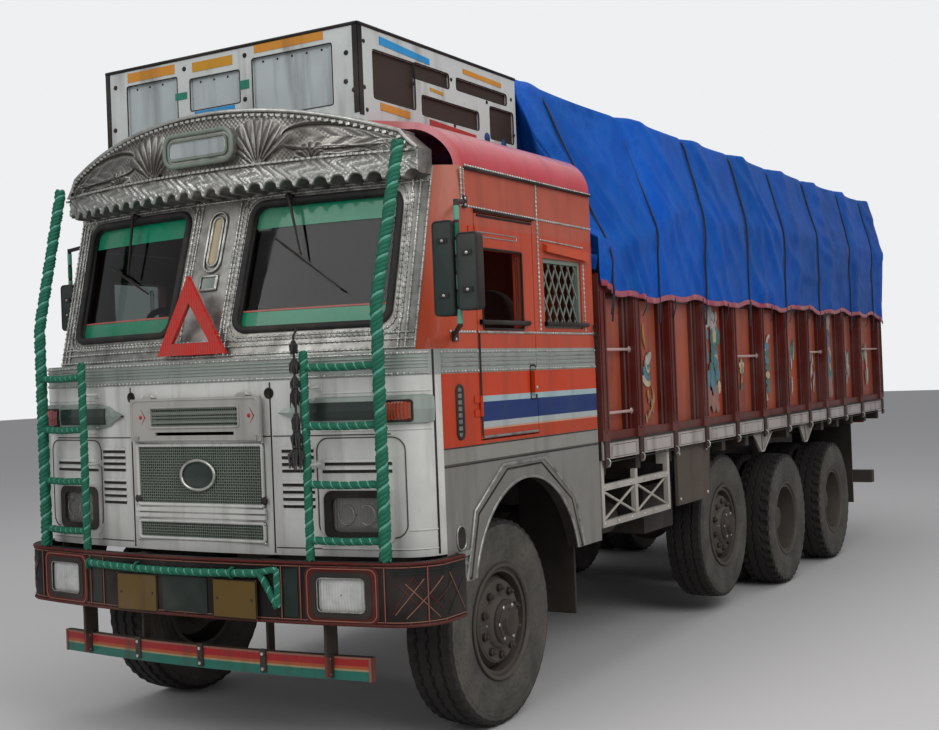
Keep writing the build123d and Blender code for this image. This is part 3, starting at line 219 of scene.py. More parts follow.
def paint(name, code, rough=0.4, metal=0.0, coat=0.15, **wear):
    """One paint colour with its wear."""
    finish = Finish(name, rough=rough, metal=metal, Coat_Weight=coat)
    return worn(finish, srgb(code), rough=rough, **wear)


def metal(name, code, rough, dirt):
    """Bare sheet metal with dirt in patches and fine grain."""
    finish = Finish(name, rough=rough, metal=0.9)
    patch = finish.noise(14, detail=6)
    colour = finish.mix(srgb(code), srgb("3B3833"), finish.remap(patch, 0.42, 0.72, 0.0, dirt))
    finish.bump(finish.noise(60, detail=3), 0.001, 0.5)
    return finish.done(colour, finish.remap(patch, 0.3, 0.7, rough - 0.08, rough + 0.25))


def plain(name, code, rough, scale=70, vary=0.3, sheen=0.0):
    """Rubber, plastic and cloth: one colour with grain, dust and bump."""
    finish = Finish(name, rough=rough, Sheen_Weight=sheen)
    grain = finish.noise(scale, detail=5)
    patch = finish.noise(6, detail=4)
    darker = finish.mix(srgb(code), (0.01, 0.01, 0.01, 1), finish.remap(grain, 0.4, 0.8, 0.0, vary))
    colour = finish.mix(darker, srgb("7A7064"), finish.remap(patch, 0.5, 0.8, 0.0, vary * 0.8))
    finish.bump(grain, 0.001, 0.6)
    return finish.done(colour, finish.remap(patch, 0.3, 0.8, rough - 0.05, min(1.0, rough + 0.2)))


def make_glass():
    """Clear panes with a slight haze."""
    finish = Finish("glass", rough=0.04, Transmission_Weight=1.0, IOR=1.32)
    haze = finish.noise(4, detail=5)
    return finish.done(srgb("7C8882"), finish.remap(haze, 0.4, 0.8, 0.02, 0.10))


def make_lens(name, code, weight):
    """Ribbed lamp glass with dirt on it."""
    finish = Finish(name, rough=0.12, Transmission_Weight=weight, IOR=1.45, Coat_Weight=0.5)
    ribs = finish.math("SINE", finish.times(finish.y, 420.0))
    finish.bump(ribs, 0.0015, 0.7)
    dirt = finish.remap(finish.noise(12, detail=5), 0.45, 0.8, 0.0, 0.4)
    return finish.done(finish.mix(srgb(code), srgb("6A6158"), dirt))


skirt_seam, skirt_top = 1.335, 1.42


def cab_side_paint():
    """Orange cab side with the blue stripe behind the door's front edge, and the grey skirt."""
    finish = Finish("cab_side_paint", rough=0.38, Coat_Weight=0.2)
    colour = finish.bands(finish.z, 0.7, 3.1, [
        (0.7, "7D7B76"), (skirt_seam, "4A4844"), (1.343, "8A8881"), (skirt_top, "B03A14"), (1.480, "BE9078"),
        (1.492, "A6AEAC"), (1.520, "022A66"), (1.614, "9CB2B6"), (1.638, "C03A10"), (1.757, "8F9690"),
        (sill_z, "B6452A"), (2.45, "AE503A")])
    over_skirt = finish.above(finish.z, skirt_top)
    low = finish.times(over_skirt, finish.below(finish.z, 1.757))
    ahead = finish.times(low, finish.above(finish.x, at(0.348)))
    colour = finish.mix(colour, srgb("BC3608"), ahead)
    inside = finish.below(finish.size(finish.y), 1.232)
    hidden = finish.times(inside, finish.below(finish.z, skirt_seam))
    colour = finish.mix(colour, srgb("16130F"), hidden)
    return worn(finish, colour, fade=0.08, streaks=0.35, dust=0.32, dust_top=1.35, chips=0.25, rough=0.42)


def tarp_material():
    """Woven plastic sheet, crumpled, with a painted highlight in paler blue along its creases."""
    finish = Finish("tarp_blue", rough=0.5, Specular_IOR_Level=0.14)
    weave_a = finish.math("SINE", finish.times(finish.x, 900.0))
    weave_b = finish.math("SINE", finish.times(finish.z, 900.0))
    crumple = finish.noise(3.4, stretch=(1, 1, 0.7), detail=7, rough=0.62)
    distance = finish.size(finish.math("SUBTRACT", crumple, 0.5))
    ridge = finish.remap(distance, 0.0, 0.09, 1.0, 0.0)
    tone = finish.mix(srgb("0050B4"), srgb("004698"), finish.remap(finish.noise(1.1, detail=3), 0.38, 0.62))
    # Painted highlight: paler blue along the crumpled ridges.
    painted_ridge_highlight = finish.mix(tone, srgb("2C78C8"), finish.times(ridge, 0.18))
    dust = finish.mix(painted_ridge_highlight, srgb("2A5688"), finish.remap(finish.noise(4, detail=6), 0.6, 0.9, 0.0, 0.12))
    weave = finish.times(finish.math("ADD", weave_a, weave_b), 0.01)
    lift = finish.math("ADD", crumple, finish.times(ridge, 0.10))
    finish.bump(finish.math("ADD", lift, weave), 0.026, 0.8)
    return finish.done(dust, finish.remap(crumple, 0.3, 0.8, 0.36, 0.6))


def tyre_material(name, code, dust_code, dust_share):
    """Rubber with road dust in its hollows."""
    finish = Finish(name, rough=0.85)
    grain = finish.noise(50, detail=6)
    dust = finish.noise(5, detail=5)
    colour = finish.mix(srgb(code), srgb(dust_code), finish.remap(dust, 0.35, 0.8, 0.05, dust_share))
    colour = finish.mix(colour, srgb("1A1917"), finish.remap(grain, 0.5, 0.8, 0.0, 0.6))
    finish.bump(grain, 0.002, 0.5)
    return finish.done(colour)


def body_paint():
    """Orange-brown cargo panels with dark red posts and rails."""
    finish = Finish("body_paint", rough=0.42, Coat_Weight=0.12)
    tone = finish.noise(1.6, stretch=(1, 1, 0.6), detail=5)
    panel = finish.mix(srgb("A8441F"), srgb("8A3A26"), finish.remap(tone, 0.35, 0.7))
    pale = finish.remap(finish.z, 1.75, 2.2)
    panel = finish.mix(panel, srgb("9C5644"), finish.times(pale, 0.6))
    proud = finish.above(finish.size(finish.y), 1.2035)
    colour = finish.mix(panel, srgb("5E1A12"), proud)
    return worn(finish, colour, fade=0.25, streaks=0.5, dust=0.35, dust_top=1.9, chips=0.35, rough=0.45)


def floor_paint():
    """Pale painted side band of the load floor; its bearers and underside are dark."""
    finish = Finish("floor_paint", rough=0.5, Coat_Weight=0.1)
    outer = finish.above(finish.size(finish.y), 1.236)
    colour = finish.mix(srgb("2A2420"), srgb("A69E9A"), outer)
    return worn(finish, colour, fade=0.1, streaks=0.45, dust=0.5, dust_top=1.6, chips=0.3, rough=0.5)


def mud_paint():
    """Grey-brown side plate, pale braces and black rubber flaps."""
    finish = Finish("mud_paint", rough=0.65)
    outer = finish.above(finish.size(finish.y), 1.2)
    brace = finish.times(outer, finish.below(finish.x, at(-3.0)))
    colour = finish.mix(srgb("191715"), srgb("544A42"), outer)
    colour = finish.mix(colour, srgb("8E8A84"), brace)
    return worn(finish, colour, fade=0.1, streaks=0.4, dust=0.35, dust_top=1.2, chips=0.2, rough=0.65)


def plank_paint():
    """Red board whose hangers and carrier are dark."""
    finish = Finish("plank_paint", rough=0.5)
    board = finish.below(finish.z, 0.5115)
    colour = finish.mix(srgb("1E1815"), srgb("6E1A18"), board)
    return worn(finish, colour, fade=0.15, streaks=0.5, dust=0.6, dust_top=0.9, chips=0.6, rough=0.55)


def relief_metal():
    """Embossed thin sheet: painted highlight on its ridges, tarnished in its hollows, paler along its lower
    edge, with a painted highlight on its left end.
    """
    finish = Finish("relief_sheet", rough=0.36, metal=0.8)
    shape = finish.add("ShaderNodeNewGeometry").outputs["Pointiness"]
    patch = finish.noise(5, detail=6)
    # Painted highlight: brighter where the sheet stands out on its ridges; tarnish in the hollows.
    high = finish.remap(shape, 0.47, 0.53)
    tone = finish.mix(srgb("3A3733"), srgb("B4B1AA"), high)
    tone.node.clamp_factor = True
    # Painted highlight: paler towards the left end of the crown.
    end = finish.remap(finish.y, 0.85, 1.15, 0.0, 0.45)
    tone = finish.mix(tone, srgb("C8C8C2"), end)
    dirt = finish.mix(tone, srgb("4A443E"), finish.remap(patch, 0.42, 0.72, 0.0, 0.7))
    low = finish.remap(finish.z, 2.74, 2.80, 0.55, 0.0)
    dirt = finish.mix(dirt, srgb("C8C9C3"), low)
    finish.bump(finish.noise(90, detail=4), 0.002, 0.7)
    return finish.done(dirt, finish.remap(patch, 0.3, 0.7, 0.28, 0.6))


def cab_front_paint():
    """Silver pressed sheet between the panes, orange outer corners and the pale grey band below."""
    finish = Finish("cab_front_paint", rough=0.38, Coat_Weight=0.1)
    band_top = sill_z + 0.002
    corner = finish.above(finish.size(finish.y), 1.135)
    mask = finish.times(corner, finish.above(finish.z, band_top))
    band = finish.below(finish.z, band_top)
    patch = finish.noise(14, detail=6)
    sheet = finish.mix(srgb("A9A8A2"), srgb("3B3833"), finish.remap(patch, 0.40, 0.72, 0.05, 0.6))
    sheet = finish.mix(sheet, srgb("A2A8A2"), band)
    height = finish.remap(finish.z, 1.9, 2.7)
    orange = finish.mix(srgb("B8401A"), srgb("B0604C"), height)
    colour = finish.mix(sheet, orange, mask)
    painted = finish.math("MAXIMUM", mask, finish.times(band, 0.7))
    shine = finish.times(finish.math("SUBTRACT", 1.0, painted), 0.8)
    finish.tree.links.new(shine, finish.shader.inputs["Metallic"])
    return worn(finish, colour, fade=0.2, streaks=0.3, dust=0.3, dust_top=1.5, chips=0.15, rough=0.4)


def box_paint():
    """Pale painted bars, grey front panels and dark side panels of the roof box."""
    finish = Finish("roof_box_paint", rough=0.45, metal=0.1)
    inner = finish.below(finish.size(finish.y), 0.8055)
    front = finish.above(finish.x, at(0.600))
    deep = finish.times(front, finish.below(finish.x, at(0.6455)))
    side = finish.times(inner, finish.math("SUBTRACT", 1.0, front))
    colour = finish.mix(srgb("C4C8C5"), srgb("3A2C26"), side)
    colour = finish.mix(colour, srgb("AEB6B7"), finish.times(deep, inner))
    colour = finish.mix(colour, srgb("2B2523"), finish.above(finish.z, 3.421))
    return worn(finish, colour, fade=0.05, streaks=0.5, dust=0.3, dust_top=1.0, chips=0.3, rough=0.45)


def roof_paint():
    """Red roof with a painted pale pink highlight on its shoulders."""
    finish = Finish("roof_red", rough=0.3, Coat_Weight=0.4)
    side = finish.size(finish.y)
    # Painted highlight: the shoulders of the roof turn pale pink.
    pale = finish.remap(side, 0.95, 1.10)
    back = finish.math("SUBTRACT", 1.0, finish.remap(side, 1.15, 1.235))
    share = finish.times(finish.times(pale, back), 0.75)
    colour = finish.mix(srgb("BE3440"), srgb("DB9AA0"), share)
    return worn(finish, colour, fade=0.3, streaks=0.25, dust=0.2, chips=0.15, rough=0.3)


bumper_wear = dict(rough=0.5, coat=0.0, dust=0.3, dust_top=0.9)
plank_wear = dict(rough=0.5, fade=0.1, streaks=0.6, dust=0.25, dust_top=0.6, chips=0.8)
faded_wear = dict(rough=0.5, streaks=0.5, dust=0.4, dust_top=2.0, chips=1.0)
white_wear = dict(rough=0.35, coat=0.3, fade=0.05)


def make_materials():
    """All materials, each under the short name that pieces ask for."""
    return {
        "cab_side": cab_side_paint(),
        "tarp": tarp_material(),
        "body": body_paint(),
        "floor_band": floor_paint(),
        "mud": mud_paint(),
        "plank": plank_paint(),
        "glass": make_glass(),
        "lens": make_lens("lens_clear", "E8ECEA", 0.85),
        "lens_red": make_lens("lens_red", "B01410", 0.15),
        "lens_amber": make_lens("lens_amber", "9E3A16", 0.12),
        "tyre": tyre_material("tyre_rubber", "3A3834", "6C665C", 0.7),
        "tread": tyre_material("tyre_tread", "171513", "38342E", 0.5),
        "orange": paint("orange_paint", "C4481F", rough=0.4, fade=0.3, chips=0.2),
        "red_roof": roof_paint(),
        "front": cab_front_paint(),
        "relief": relief_metal(),
        "white": paint("white_paint", "CFCFCA", **white_wear, streaks=0.4, dust=0.45, dust_top=1.5),
        "lid": paint("lid_paint", "A5A39D", **white_wear, streaks=0.35, dust=0.4),
        "band": paint("band_paint", "96A099", rough=0.35, metal=0.4, coat=0.2, fade=0.1, streaks=0.4),
        "silver": metal("silver_sheet", "A8A7A2", rough=0.36, dirt=0.7),
        "bead": metal("silver_bead", "C2C2BC", rough=0.3, dirt=0.55),
        "black_metal": paint("black_metal", "1C1A18", rough=0.5, coat=0.0, dust=0.35, dust_top=1.2),
        "chassis": paint("chassis_paint", "25211E", rough=0.6, coat=0.0, dust=0.75, dust_top=1.2),
        "hub": paint("hub_paint", "2B2724", rough=0.5, metal=0.3, coat=0.0, dust=0.4),
        "red": paint("red_paint", "A82420", rough=0.45, fade=0.15, dust=0.3),
        "pink": paint("pink_paint", "AE5C52", rough=0.5, fade=0.2, dust=0.4),
        "cream": paint("cream_paint", "B8A98A", rough=0.5, fade=0.1, dust=0.4),
        "teal": paint("teal_paint", "1E7A66", rough=0.45, fade=0.3, dust=0.4),
        "yellow": paint("yellow_paint", "C08A1C", rough=0.45, fade=0.1, dust=0.4, dust_top=0.9),
        "blue": paint("blue_paint", "1F8CC8", rough=0.4, fade=0.2, dust=0.2),
        "navy": paint("navy_paint", "143F70", rough=0.4, fade=0.2, dust=0.2),
        "amber": paint("amber_strip", "C9862A", rough=0.5, fade=0.2, dust=0.2),
        "box": paint("box_grey", "AAB2B3", rough=0.45, metal=0.3, fade=0.05, streaks=0.5, dust=0.3,
                     dust_top=1.0),
        "roof_box": box_paint(),
        "arch": paint("arch_plate", "7E7C76", rough=0.45, metal=0.2, coat=0.1, dust=0.6, dust_top=1.4),
        "screen_dark": paint("mirror_back", "20302C", rough=0.35, coat=0.3, dust=0.3),
        "side_guard": paint("side_guard_white", "B5AFA6", rough=0.55, fade=0.05, streaks=0.4, dust=0.6,
                            dust_top=1.3),
        "mesh": paint("mesh_paint", "7E8A7E", rough=0.6, metal=0.2, coat=0.0, dust=0.4, dust_top=1.5),
        # Darker copy of the grille paint, as painted shade behind the woven wire.
        "mesh_back_painted_shade": paint("mesh_back_painted_shade", "3A423A", rough=0.7, coat=0.0, dust=0.4, dust_top=1.5),
        "bumper": paint("bumper_paint", "0B0807", rough=0.5, coat=0.0, dust=0.15, dust_top=0.9),
        "bumper_red": paint("bumper_red", "4E0E08", chips=0.5, **bumper_wear),
        "bumper_green": paint("bumper_green", "07231F", chips=0.7, **bumper_wear),
        "pale_line": paint("pale_line", "8E5C4C", chips=0.4, **bumper_wear),
        # Yellow of the bumper plates, darkened with painted shade.
        "plate_yellow_painted_shade": paint("plate_yellow_painted_shade", "60480E", rough=0.5, coat=0.0, streaks=0.6, dust=0.3,
                              chips=0.6),
        "plank_red": paint("plank_red", "9A1216", **plank_wear),
        "plank_teal": paint("plank_teal", "086A5C", **plank_wear),
        "plank_cream": paint("plank_cream", "9A8A68", **plank_wear),
        "plank_orange": paint("plank_orange", "A84E22", **plank_wear),
        "post": paint("post_paint", "4E140E", rough=0.45, streaks=0.35, dust=0.3, dust_top=1.9, chips=0.3),
        "post_foot": paint("post_foot", "2E1410", rough=0.5, streaks=0.4, dust=0.4, dust_top=1.6, chips=0.3),
        "band_white": paint("band_white", "B4ACA8", rough=0.5, streaks=0.6, dust=0.5, dust_top=1.5,
                            chips=0.6),
        "rod_pink": paint("rod_pink", "B89A92", rough=0.45, streaks=0.4, dust=0.3, chips=0.5),
        "faded_teal": paint("faded_teal", "3E6E66", **faded_wear),
        "faded_blue": paint("faded_blue", "4A7C90", **faded_wear),
        "faded_yellow": paint("faded_yellow", "A8824A", **faded_wear),
        "faded_pink": paint("faded_pink", "9A6A60", **faded_wear),
        "mud_line": paint("seam_grey", "4A4844", rough=0.6, coat=0.0, dust=0.3),
        "lamp_glass": paint("lamp_glass_dark", "24322E", rough=0.2, coat=0.6, fade=0.1, dust=0.2),
        "lens_dark": make_lens("lens_dark", "6E6C68", 0.15),
        "lens_bright": make_lens("lens_bright", "D4D6D2", 0.25),
        "rim": paint("rim_paint", "4C4944", rough=0.55, metal=0.2, coat=0.0, dust=0.55, dust_top=1.5,
                     chips=0.4),
        "rope": plain("rope_green", "04624A", rough=0.7, scale=220, vary=0.12),
        "rope_light": plain("rope_light", "5CA08C", rough=0.7, scale=220, vary=0.12),
        "rubber": plain("rubber_black", "1A1918", rough=0.7),
        "inside": plain("cab_inside", "2C2C2B", rough=0.7),
        "seat": plain("seat_cloth", "5A2F26", rough=0.9, scale=200, sheen=0.3),
        "tassel": plain("tassel_black", "0E0D0D", rough=0.9, scale=260, sheen=0.4),
        "strap": plain("strap_dark", "1A2436", rough=0.9, scale=200, sheen=0.2),
        "hem": plain("hem_crimson", "A03048", rough=0.8, scale=200, sheen=0.3),
        "screen_green": paint("screen_green", "047E5C", rough=0.25, coat=0.4, fade=0.3, streaks=0.1,
                              dust=0.1),
        "reflector_red": make_lens("reflector_red", "C8200E", 0.1),
        "mirror": Finish("mirror_face", rough=0.05, metal=1.0).done(srgb("D8DCDC")),
    }


mats = make_materials()

cad_finish = {
    "cab_side": ["cab_sides", "door_left", "door_right", "cab_back"],
    "front": ["cab_front"],
    "silver": ["crown", "roof_sign"],
    "red_roof": ["cab_roof"],
    "white": ["front_panel"],
    "lid": ["front_lid"],
    "mesh": ["grilles", "sleeper_grilles"],
    "glass": ["windscreens"],
    "inside": ["cab_floor", "dashboard"],
    "seat": ["seats"],
    "roof_box": ["roof_box"],
    "bumper": ["front_bumper"],
    "plank": ["lower_plank"],
    "lens": ["head_lamps"],
    "rope": ["guards"],
    "black_metal": ["mirrors", "tanks"],
    "reflector_red": ["warning_triangle"],
    "floor_band": ["load_floor"],
    "body": ["body_sides", "headboard", "tailgate"],
    "tarp": ["tarp"],
    "chassis": ["chassis_frame", "front_axle", "rear_axles", "driveline", "engine", "tarp_hoops",
                "under_run_bar", "knuckle_left", "knuckle_right"],
    "side_guard": ["side_guards"],
    "mud": ["mud_guards"],
    "lens_red": ["tail_lamps"],
}


def dress_cad():
    """Gives every CAD solid its material."""
    for key, names in cad_finish.items():
        for name in names:
            for slot in nodes[name].material_slots:
                slot.material = mats[key]
    for name, node in nodes.items():
        if name.startswith("tyre"):
            node.material_slots[0].material = mats["tyre"]
        if name.startswith("wheel"):
            node.material_slots[0].material = mats["rim"]


# Studio

def add_studio():
    """Plain light world, three soft lamps and the floor."""
    scene = bpy.context.scene
    scene.view_settings.view_transform = "Standard"
    world = bpy.data.worlds.new("studio")
    scene.world = world
    world.use_nodes = True
    tree = world.node_tree
    back = tree.nodes["Background"]
    back.inputs["Color"].default_value = (0.93, 0.95, 1.0, 1)
    back.inputs["Strength"].default_value = 0.40
    seen = tree.nodes.new("ShaderNodeBackground")
    seen.inputs["Color"].default_value = (0.86, 0.87, 0.88, 1)
    seen.inputs["Strength"].default_value = 1.0
    path = tree.nodes.new("ShaderNodeLightPath")
    mixer = tree.nodes.new("ShaderNodeMixShader")
    tree.links.new(path.outputs["Is Camera Ray"], mixer.inputs[0])
    tree.links.new(back.outputs[0], mixer.inputs[1])
    tree.links.new(seen.outputs[0], mixer.inputs[2])
    tree.links.new(mixer.outputs[0], tree.nodes["World Output"].inputs["Surface"])
    for name, place, aim, size, power in (
            ("sky_left", (6, 9, 8), (1, 0, 1.5), 7, 560),
            ("sky_front", (12, -2, 7), (2, 0, 1.5), 6, 300),
            ("sky_top", (0, 0, 11), (0, 0, 0), 9, 420)):
        lamp = bpy.data.lights.new(name, "AREA")
        lamp.shape = "SQUARE"
        lamp.size = size
        lamp.energy = power
        holder = bpy.data.objects.new(name, lamp)
        holder.location = place
        holder.rotation_euler = (Vector(aim) - Vector(place)).to_track_quat("-Z", "Y").to_euler()
        scene.collection.objects.link(holder)
    bpy.ops.mesh.primitive_plane_add(size=120)
    floor = bpy.context.object
    floor.name = "studio_floor"
    floor.location.z = -0.001
    surface = Finish("studio_floor", rough=0.8)
    floor.data.materials.append(surface.done((0.56, 0.55, 0.54, 1)))


# Pieces

box_faces = ((0, 2, 3, 1), (4, 5, 7, 6), (0, 1, 5, 4), (2, 6, 7, 3), (0, 4, 6, 2), (1, 3, 7, 5))
rim_faces = [(k, (k + 1) % 4, 4 + (k + 1) % 4, 4 + k) for k in range(4)]


class Build:
    """Collects the faces of one piece, each with the number of its material."""

    def __init__(self):
        self.points = []
        self.faces = []
        self.slots = []
        self.smooth = []

    def add(self, points, faces, slot=0, smooth=False):
        base = len(self.points)
        self.points.extend([tuple(p) for p in points])
        self.faces.extend([tuple(base + k for k in face) for face in faces])
        self.slots.extend([slot] * len(faces))
        self.smooth.extend([smooth] * len(faces))

    def box(self, low, high, slot):
        (x0, y0, z0), (x1, y1, z1) = low, high
        x0, x1 = sorted((x0, x1))
        y0, y1 = sorted((y0, y1))
        z0, z1 = sorted((z0, z1))
        points = [(x, y, z) for z in (z0, z1) for y in (y0, y1) for x in (x0, x1)]
        self.add(points, box_faces, slot)

    def slab(self, middle, along, up, size, slot):
        """A box with its own axes; size is along, up and through."""
        along = Vector(along).normalized()
        up = Vector(up)
        through = along.cross(up).normalized()
        up = through.cross(along)
        long, tall, deep = size
        points = [Vector(middle) + along * long * i + up * tall * j + through * deep * k
                  for k in (-0.5, 0.5) for j in (-0.5, 0.5) for i in (-0.5, 0.5)]
        self.add(points, box_faces, slot)

    def tube(self, path, radius, slot, sides, closed=False):
        """A round bar along a path; its radius may change from point to point."""
        path = [Vector(p) for p in path]
        count = len(path)
        radii = radius if isinstance(radius, (list, tuple)) else [radius] * count
        points = []
        normal = None
        for k in range(count):
            if closed:
                ahead = path[(k + 1) % count] - path[k - 1]
            else:
                ahead = path[min(k + 1, count - 1)] - path[max(k - 1, 0)]
            ahead.normalize()
            if normal is None:
                helper = Vector(z_axis) if abs(ahead.z) < 0.9 else Vector(x_axis)
                normal = ahead.cross(helper).normalized()
            normal = (normal - ahead * normal.dot(ahead)).normalized()
            other = ahead.cross(normal)
            for j in range(sides):
                turn = 2 * math.pi * j / sides
                points.append(path[k] + (normal * math.cos(turn) + other * math.sin(turn)) * radii[k])
        faces = []
        for k in range(count if closed else count - 1):
            for j in range(sides):
                a = k * sides + j
                b = k * sides + (j + 1) % sides
                c = (k + 1) % count * sides + (j + 1) % sides
                d = (k + 1) % count * sides + j
                faces.append((a, b, c, d))
        self.add(points, faces, slot, True)
        if not closed:
            self.add(points[:sides], [tuple(range(sides - 1, -1, -1))], slot)
            self.add(points[-sides:], [tuple(range(sides))], slot)

    def lathe(self, centre, axis, profile, slot, sides, smooth=True):
        """A closed or open profile of (radius, along) turned round an axis."""
        axis = Vector(axis).normalized()
        helper = Vector(z_axis) if abs(axis.z) < 0.9 else Vector(x_axis)
        u = axis.cross(helper).normalized()
        v = axis.cross(u)
        points = []
        for j in range(sides):
            turn = 2 * math.pi * j / sides
            ray = u * math.cos(turn) + v * math.sin(turn)
            points.extend([Vector(centre) + ray * r + axis * t for r, t in profile])
        rows = len(profile)
        faces = []
        for j in range(sides):
            for k in range(rows - 1):
                a = j * rows + k
                b = (j + 1) % sides * rows + k
                faces.append((a, a + 1, b + 1, b))
        self.add(points, faces, slot, smooth)

    def dome(self, middle, normal, radius, height, slot, sides):
        """A rivet or stud head."""
        profile = [(radius, 0), (radius * 0.92, height * 0.45), (radius * 0.6, height * 0.85),
                   (0.0002, height)]
        self.lathe(middle, normal, profile, slot, sides)

    def nut(self, middle, normal, radius, height, slot):
        """A six-sided head with a chamfered rim."""
        profile = [(radius, 0), (radius, height * 0.85), (radius * 0.85, height), (0.0002, height)]
        self.lathe(middle, normal, profile, slot, 6, False)

    def grid(self, rows, slot, smooth, closed=False):
        """A surface through rows of points, all of one length; slot may be a list, one for each column."""
        wide = len(rows[0])
        faces = []
        for r in range(len(rows) - 1):
            for c in range(wide if closed else wide - 1):
                a = r * wide + c
                b = r * wide + (c + 1) % wide
                faces.append((a, b, b + wide, a + wide))
        several = isinstance(slot, list)
        self.add([p for row in rows for p in row], faces, 0 if several else slot, smooth)
        if several:
            self.slots[-len(faces):] = slot * (len(rows) - 1)

    def make(self, name, materials, body="root", *, slot):
        """Turns the faces into an object with its materials and the body that it rides on; slot is not used.
        """
        mesh = bpy.data.meshes.new(name)
        mesh.from_pydata(self.points, [], self.faces)
        for key in materials:
            mesh.materials.append(mats[key])
        mesh.polygons.foreach_set("material_index", self.slots)
        mesh.polygons.foreach_set("use_smooth", self.smooth)
        mesh.update()
        piece = bpy.data.objects.new(name, mesh)
        bpy.context.scene.collection.objects.link(piece)
        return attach(piece, body)


# Plans of the curved fronts

lower_plan = dict(apex=0.955, corner_x=0.852, corner_y=1.090, side_x=0.700)
sill_plan = dict(apex=0.945, corner_x=0.775, corner_y=1.050, side_x=0.620)
gutter_plan = dict(apex=0.675, corner_x=0.578, corner_y=0.975, side_x=0.430)
crown_plan = dict(apex=0.835, corner_x=0.660, corner_y=1.090, side_x=0.500)
bumper_plan = dict(apex=1.075, corner_x=0.975, corner_y=1.075, side_x=0.800)
cab_half = 1.235
cab_face = 1.236
crown_half = 1.262
bumper_half = 1.278
bead_heights = (1.858, 1.768)
rib_heights = (1.835, 1.815, 1.794)


def circle_through(a, b, c):
    """Centre and radius of the circle through three points in plan."""
    ax, ay = a
    bx, by = b
    cx, cy = c
    size_a, size_b, size_c = ax * ax + ay * ay, bx * bx + by * by, cx * cx + cy * cy
    d = 2 * (ax * (by - cy) + bx * (cy - ay) + cx * (ay - by))
    ux = (size_a * (by - cy) + size_b * (cy - ay) + size_c * (ay - by)) / d
    uy = (size_a * (cx - bx) + size_b * (ax - cx) + size_c * (bx - ax)) / d
    return ux, uy, math.hypot(ax - ux, ay - uy)


def blend_plan(low, high, share):
    """The plan part of the way from the lower to the upper one."""
    return {key: low[key] + (high[key] - low[key]) * share for key in low}


def plan_x(plan, half, y):
    """X of a curved front at a distance from its middle."""
    y = min(abs(y), half - 1e-4)
    corner = (plan["corner_x"], plan["corner_y"])
    side = (plan["side_x"], half)
    if y <= corner[1]:
        ux, uy, r = circle_through((corner[0], -corner[1]), (plan["apex"], 0), corner)
    else:
        mid = (corner[0] + (side[0] - corner[0]) * 0.42, corner[1] + (side[1] - corner[1]) * 0.72)
        ux, uy, r = circle_through(corner, mid, side)
    return at(ux + math.sqrt(max(0.0, r * r - (y - uy) ** 2)))


def plan_path(plan, half, rear):
    """Points round an outline from the right side over the front to the left side."""
    ys = list(np.linspace(-plan["corner_y"], plan["corner_y"], 61))
    turn = [plan["corner_y"] + (half - plan["corner_y"]) * math.sin(math.pi / 2 * k / 9)
            for k in range(1, 10)]
    ys = [-y for y in reversed(turn)] + ys + turn
    front = [(plan_x(plan, half, y), y) for y in ys]
    return [(at(rear), -half)] + front + [(at(rear), half)]


def shift(line, out):
    """The line moved outward in plan; it runs from the right side round the front to the left."""
    moved = []
    for k, (x, y) in enumerate(line):
        ahead = line[min(k + 1, len(line) - 1)]
        back = line[max(k - 1, 0)]
        dx, dy = ahead[0] - back[0], ahead[1] - back[1]
        size = math.hypot(dx, dy)
        moved.append((x + dy / size * out, y - dx / size * out))
    return moved


def spaced(line, pitch):
    """Points at even spacing along a line, each with the direction of travel."""
    points = [Vector(p) for p in line]
    lengths = [0.0]
    for a, b in zip(points[:-1], points[1:]):
        lengths.append(lengths[-1] + (b - a).length)
    count = max(1, int(lengths[-1] / pitch))
    found = []
    for k in range(count + 1):
        want = lengths[-1] * k / count
        j = min(max(int(np.searchsorted(lengths, want)) - 1, 0), len(points) - 2)
        step = lengths[j + 1] - lengths[j]
        share = (want - lengths[j]) / step if step else 0.0
        found.append((points[j].lerp(points[j + 1], share), (points[j + 1] - points[j]).normalized()))
    return found


def screen_face(y, z, out=0.0):
    """A point on the leaning front between the band and the gutter, moved out along its normal."""
    def spot(y, z):
        plan = blend_plan(sill_plan, gutter_plan, (z - sill_z) / (gutter_z - sill_z))
        return Vector((plan_x(plan, cab_half, y), y, z))
    here = spot(y, z)
    du = spot(y + 0.01, z) - spot(y - 0.01, z)
    dv = spot(y, z + 0.01) - spot(y, z - 0.01)
    normal = du.cross(dv).normalized()
    return here + normal * out, normal


def rounded(half_w, half_h, corner, steps=5):
    """Outline of a rounded rectangle about 0, 0."""
    points = []
    for cx, cy, first in ((1, 1, 0), (-1, 1, 90), (-1, -1, 180), (1, -1, 270)):
        for k in range(steps + 1):
            turn = math.radians(first + 90 * k / steps)
            points.append((cx * (half_w - corner) + corner * math.cos(turn),
                           cy * (half_h - corner) + corner * math.sin(turn)))
    return points


def full_turn(count):
    """Angles evenly spaced round a circle."""
    return np.linspace(0, 2 * math.pi, count, endpoint=False)


def across_loop(middle, half_w, half_h, corner, steps=5):
    """A rounded loop in an upright plane across the lorry."""
    x, y, z = middle
    return [(x, y + p, z + q) for p, q in rounded(half_w, half_h, corner, steps)]


def along_loop(middle, half_w, half_h, corner, steps=5):
    """A rounded loop in an upright plane along the lorry."""
    x, y, z = middle
    return [(x + p, y, z + q) for p, q in rounded(half_w, half_h, corner, steps)]


patch_depth = 0.0008


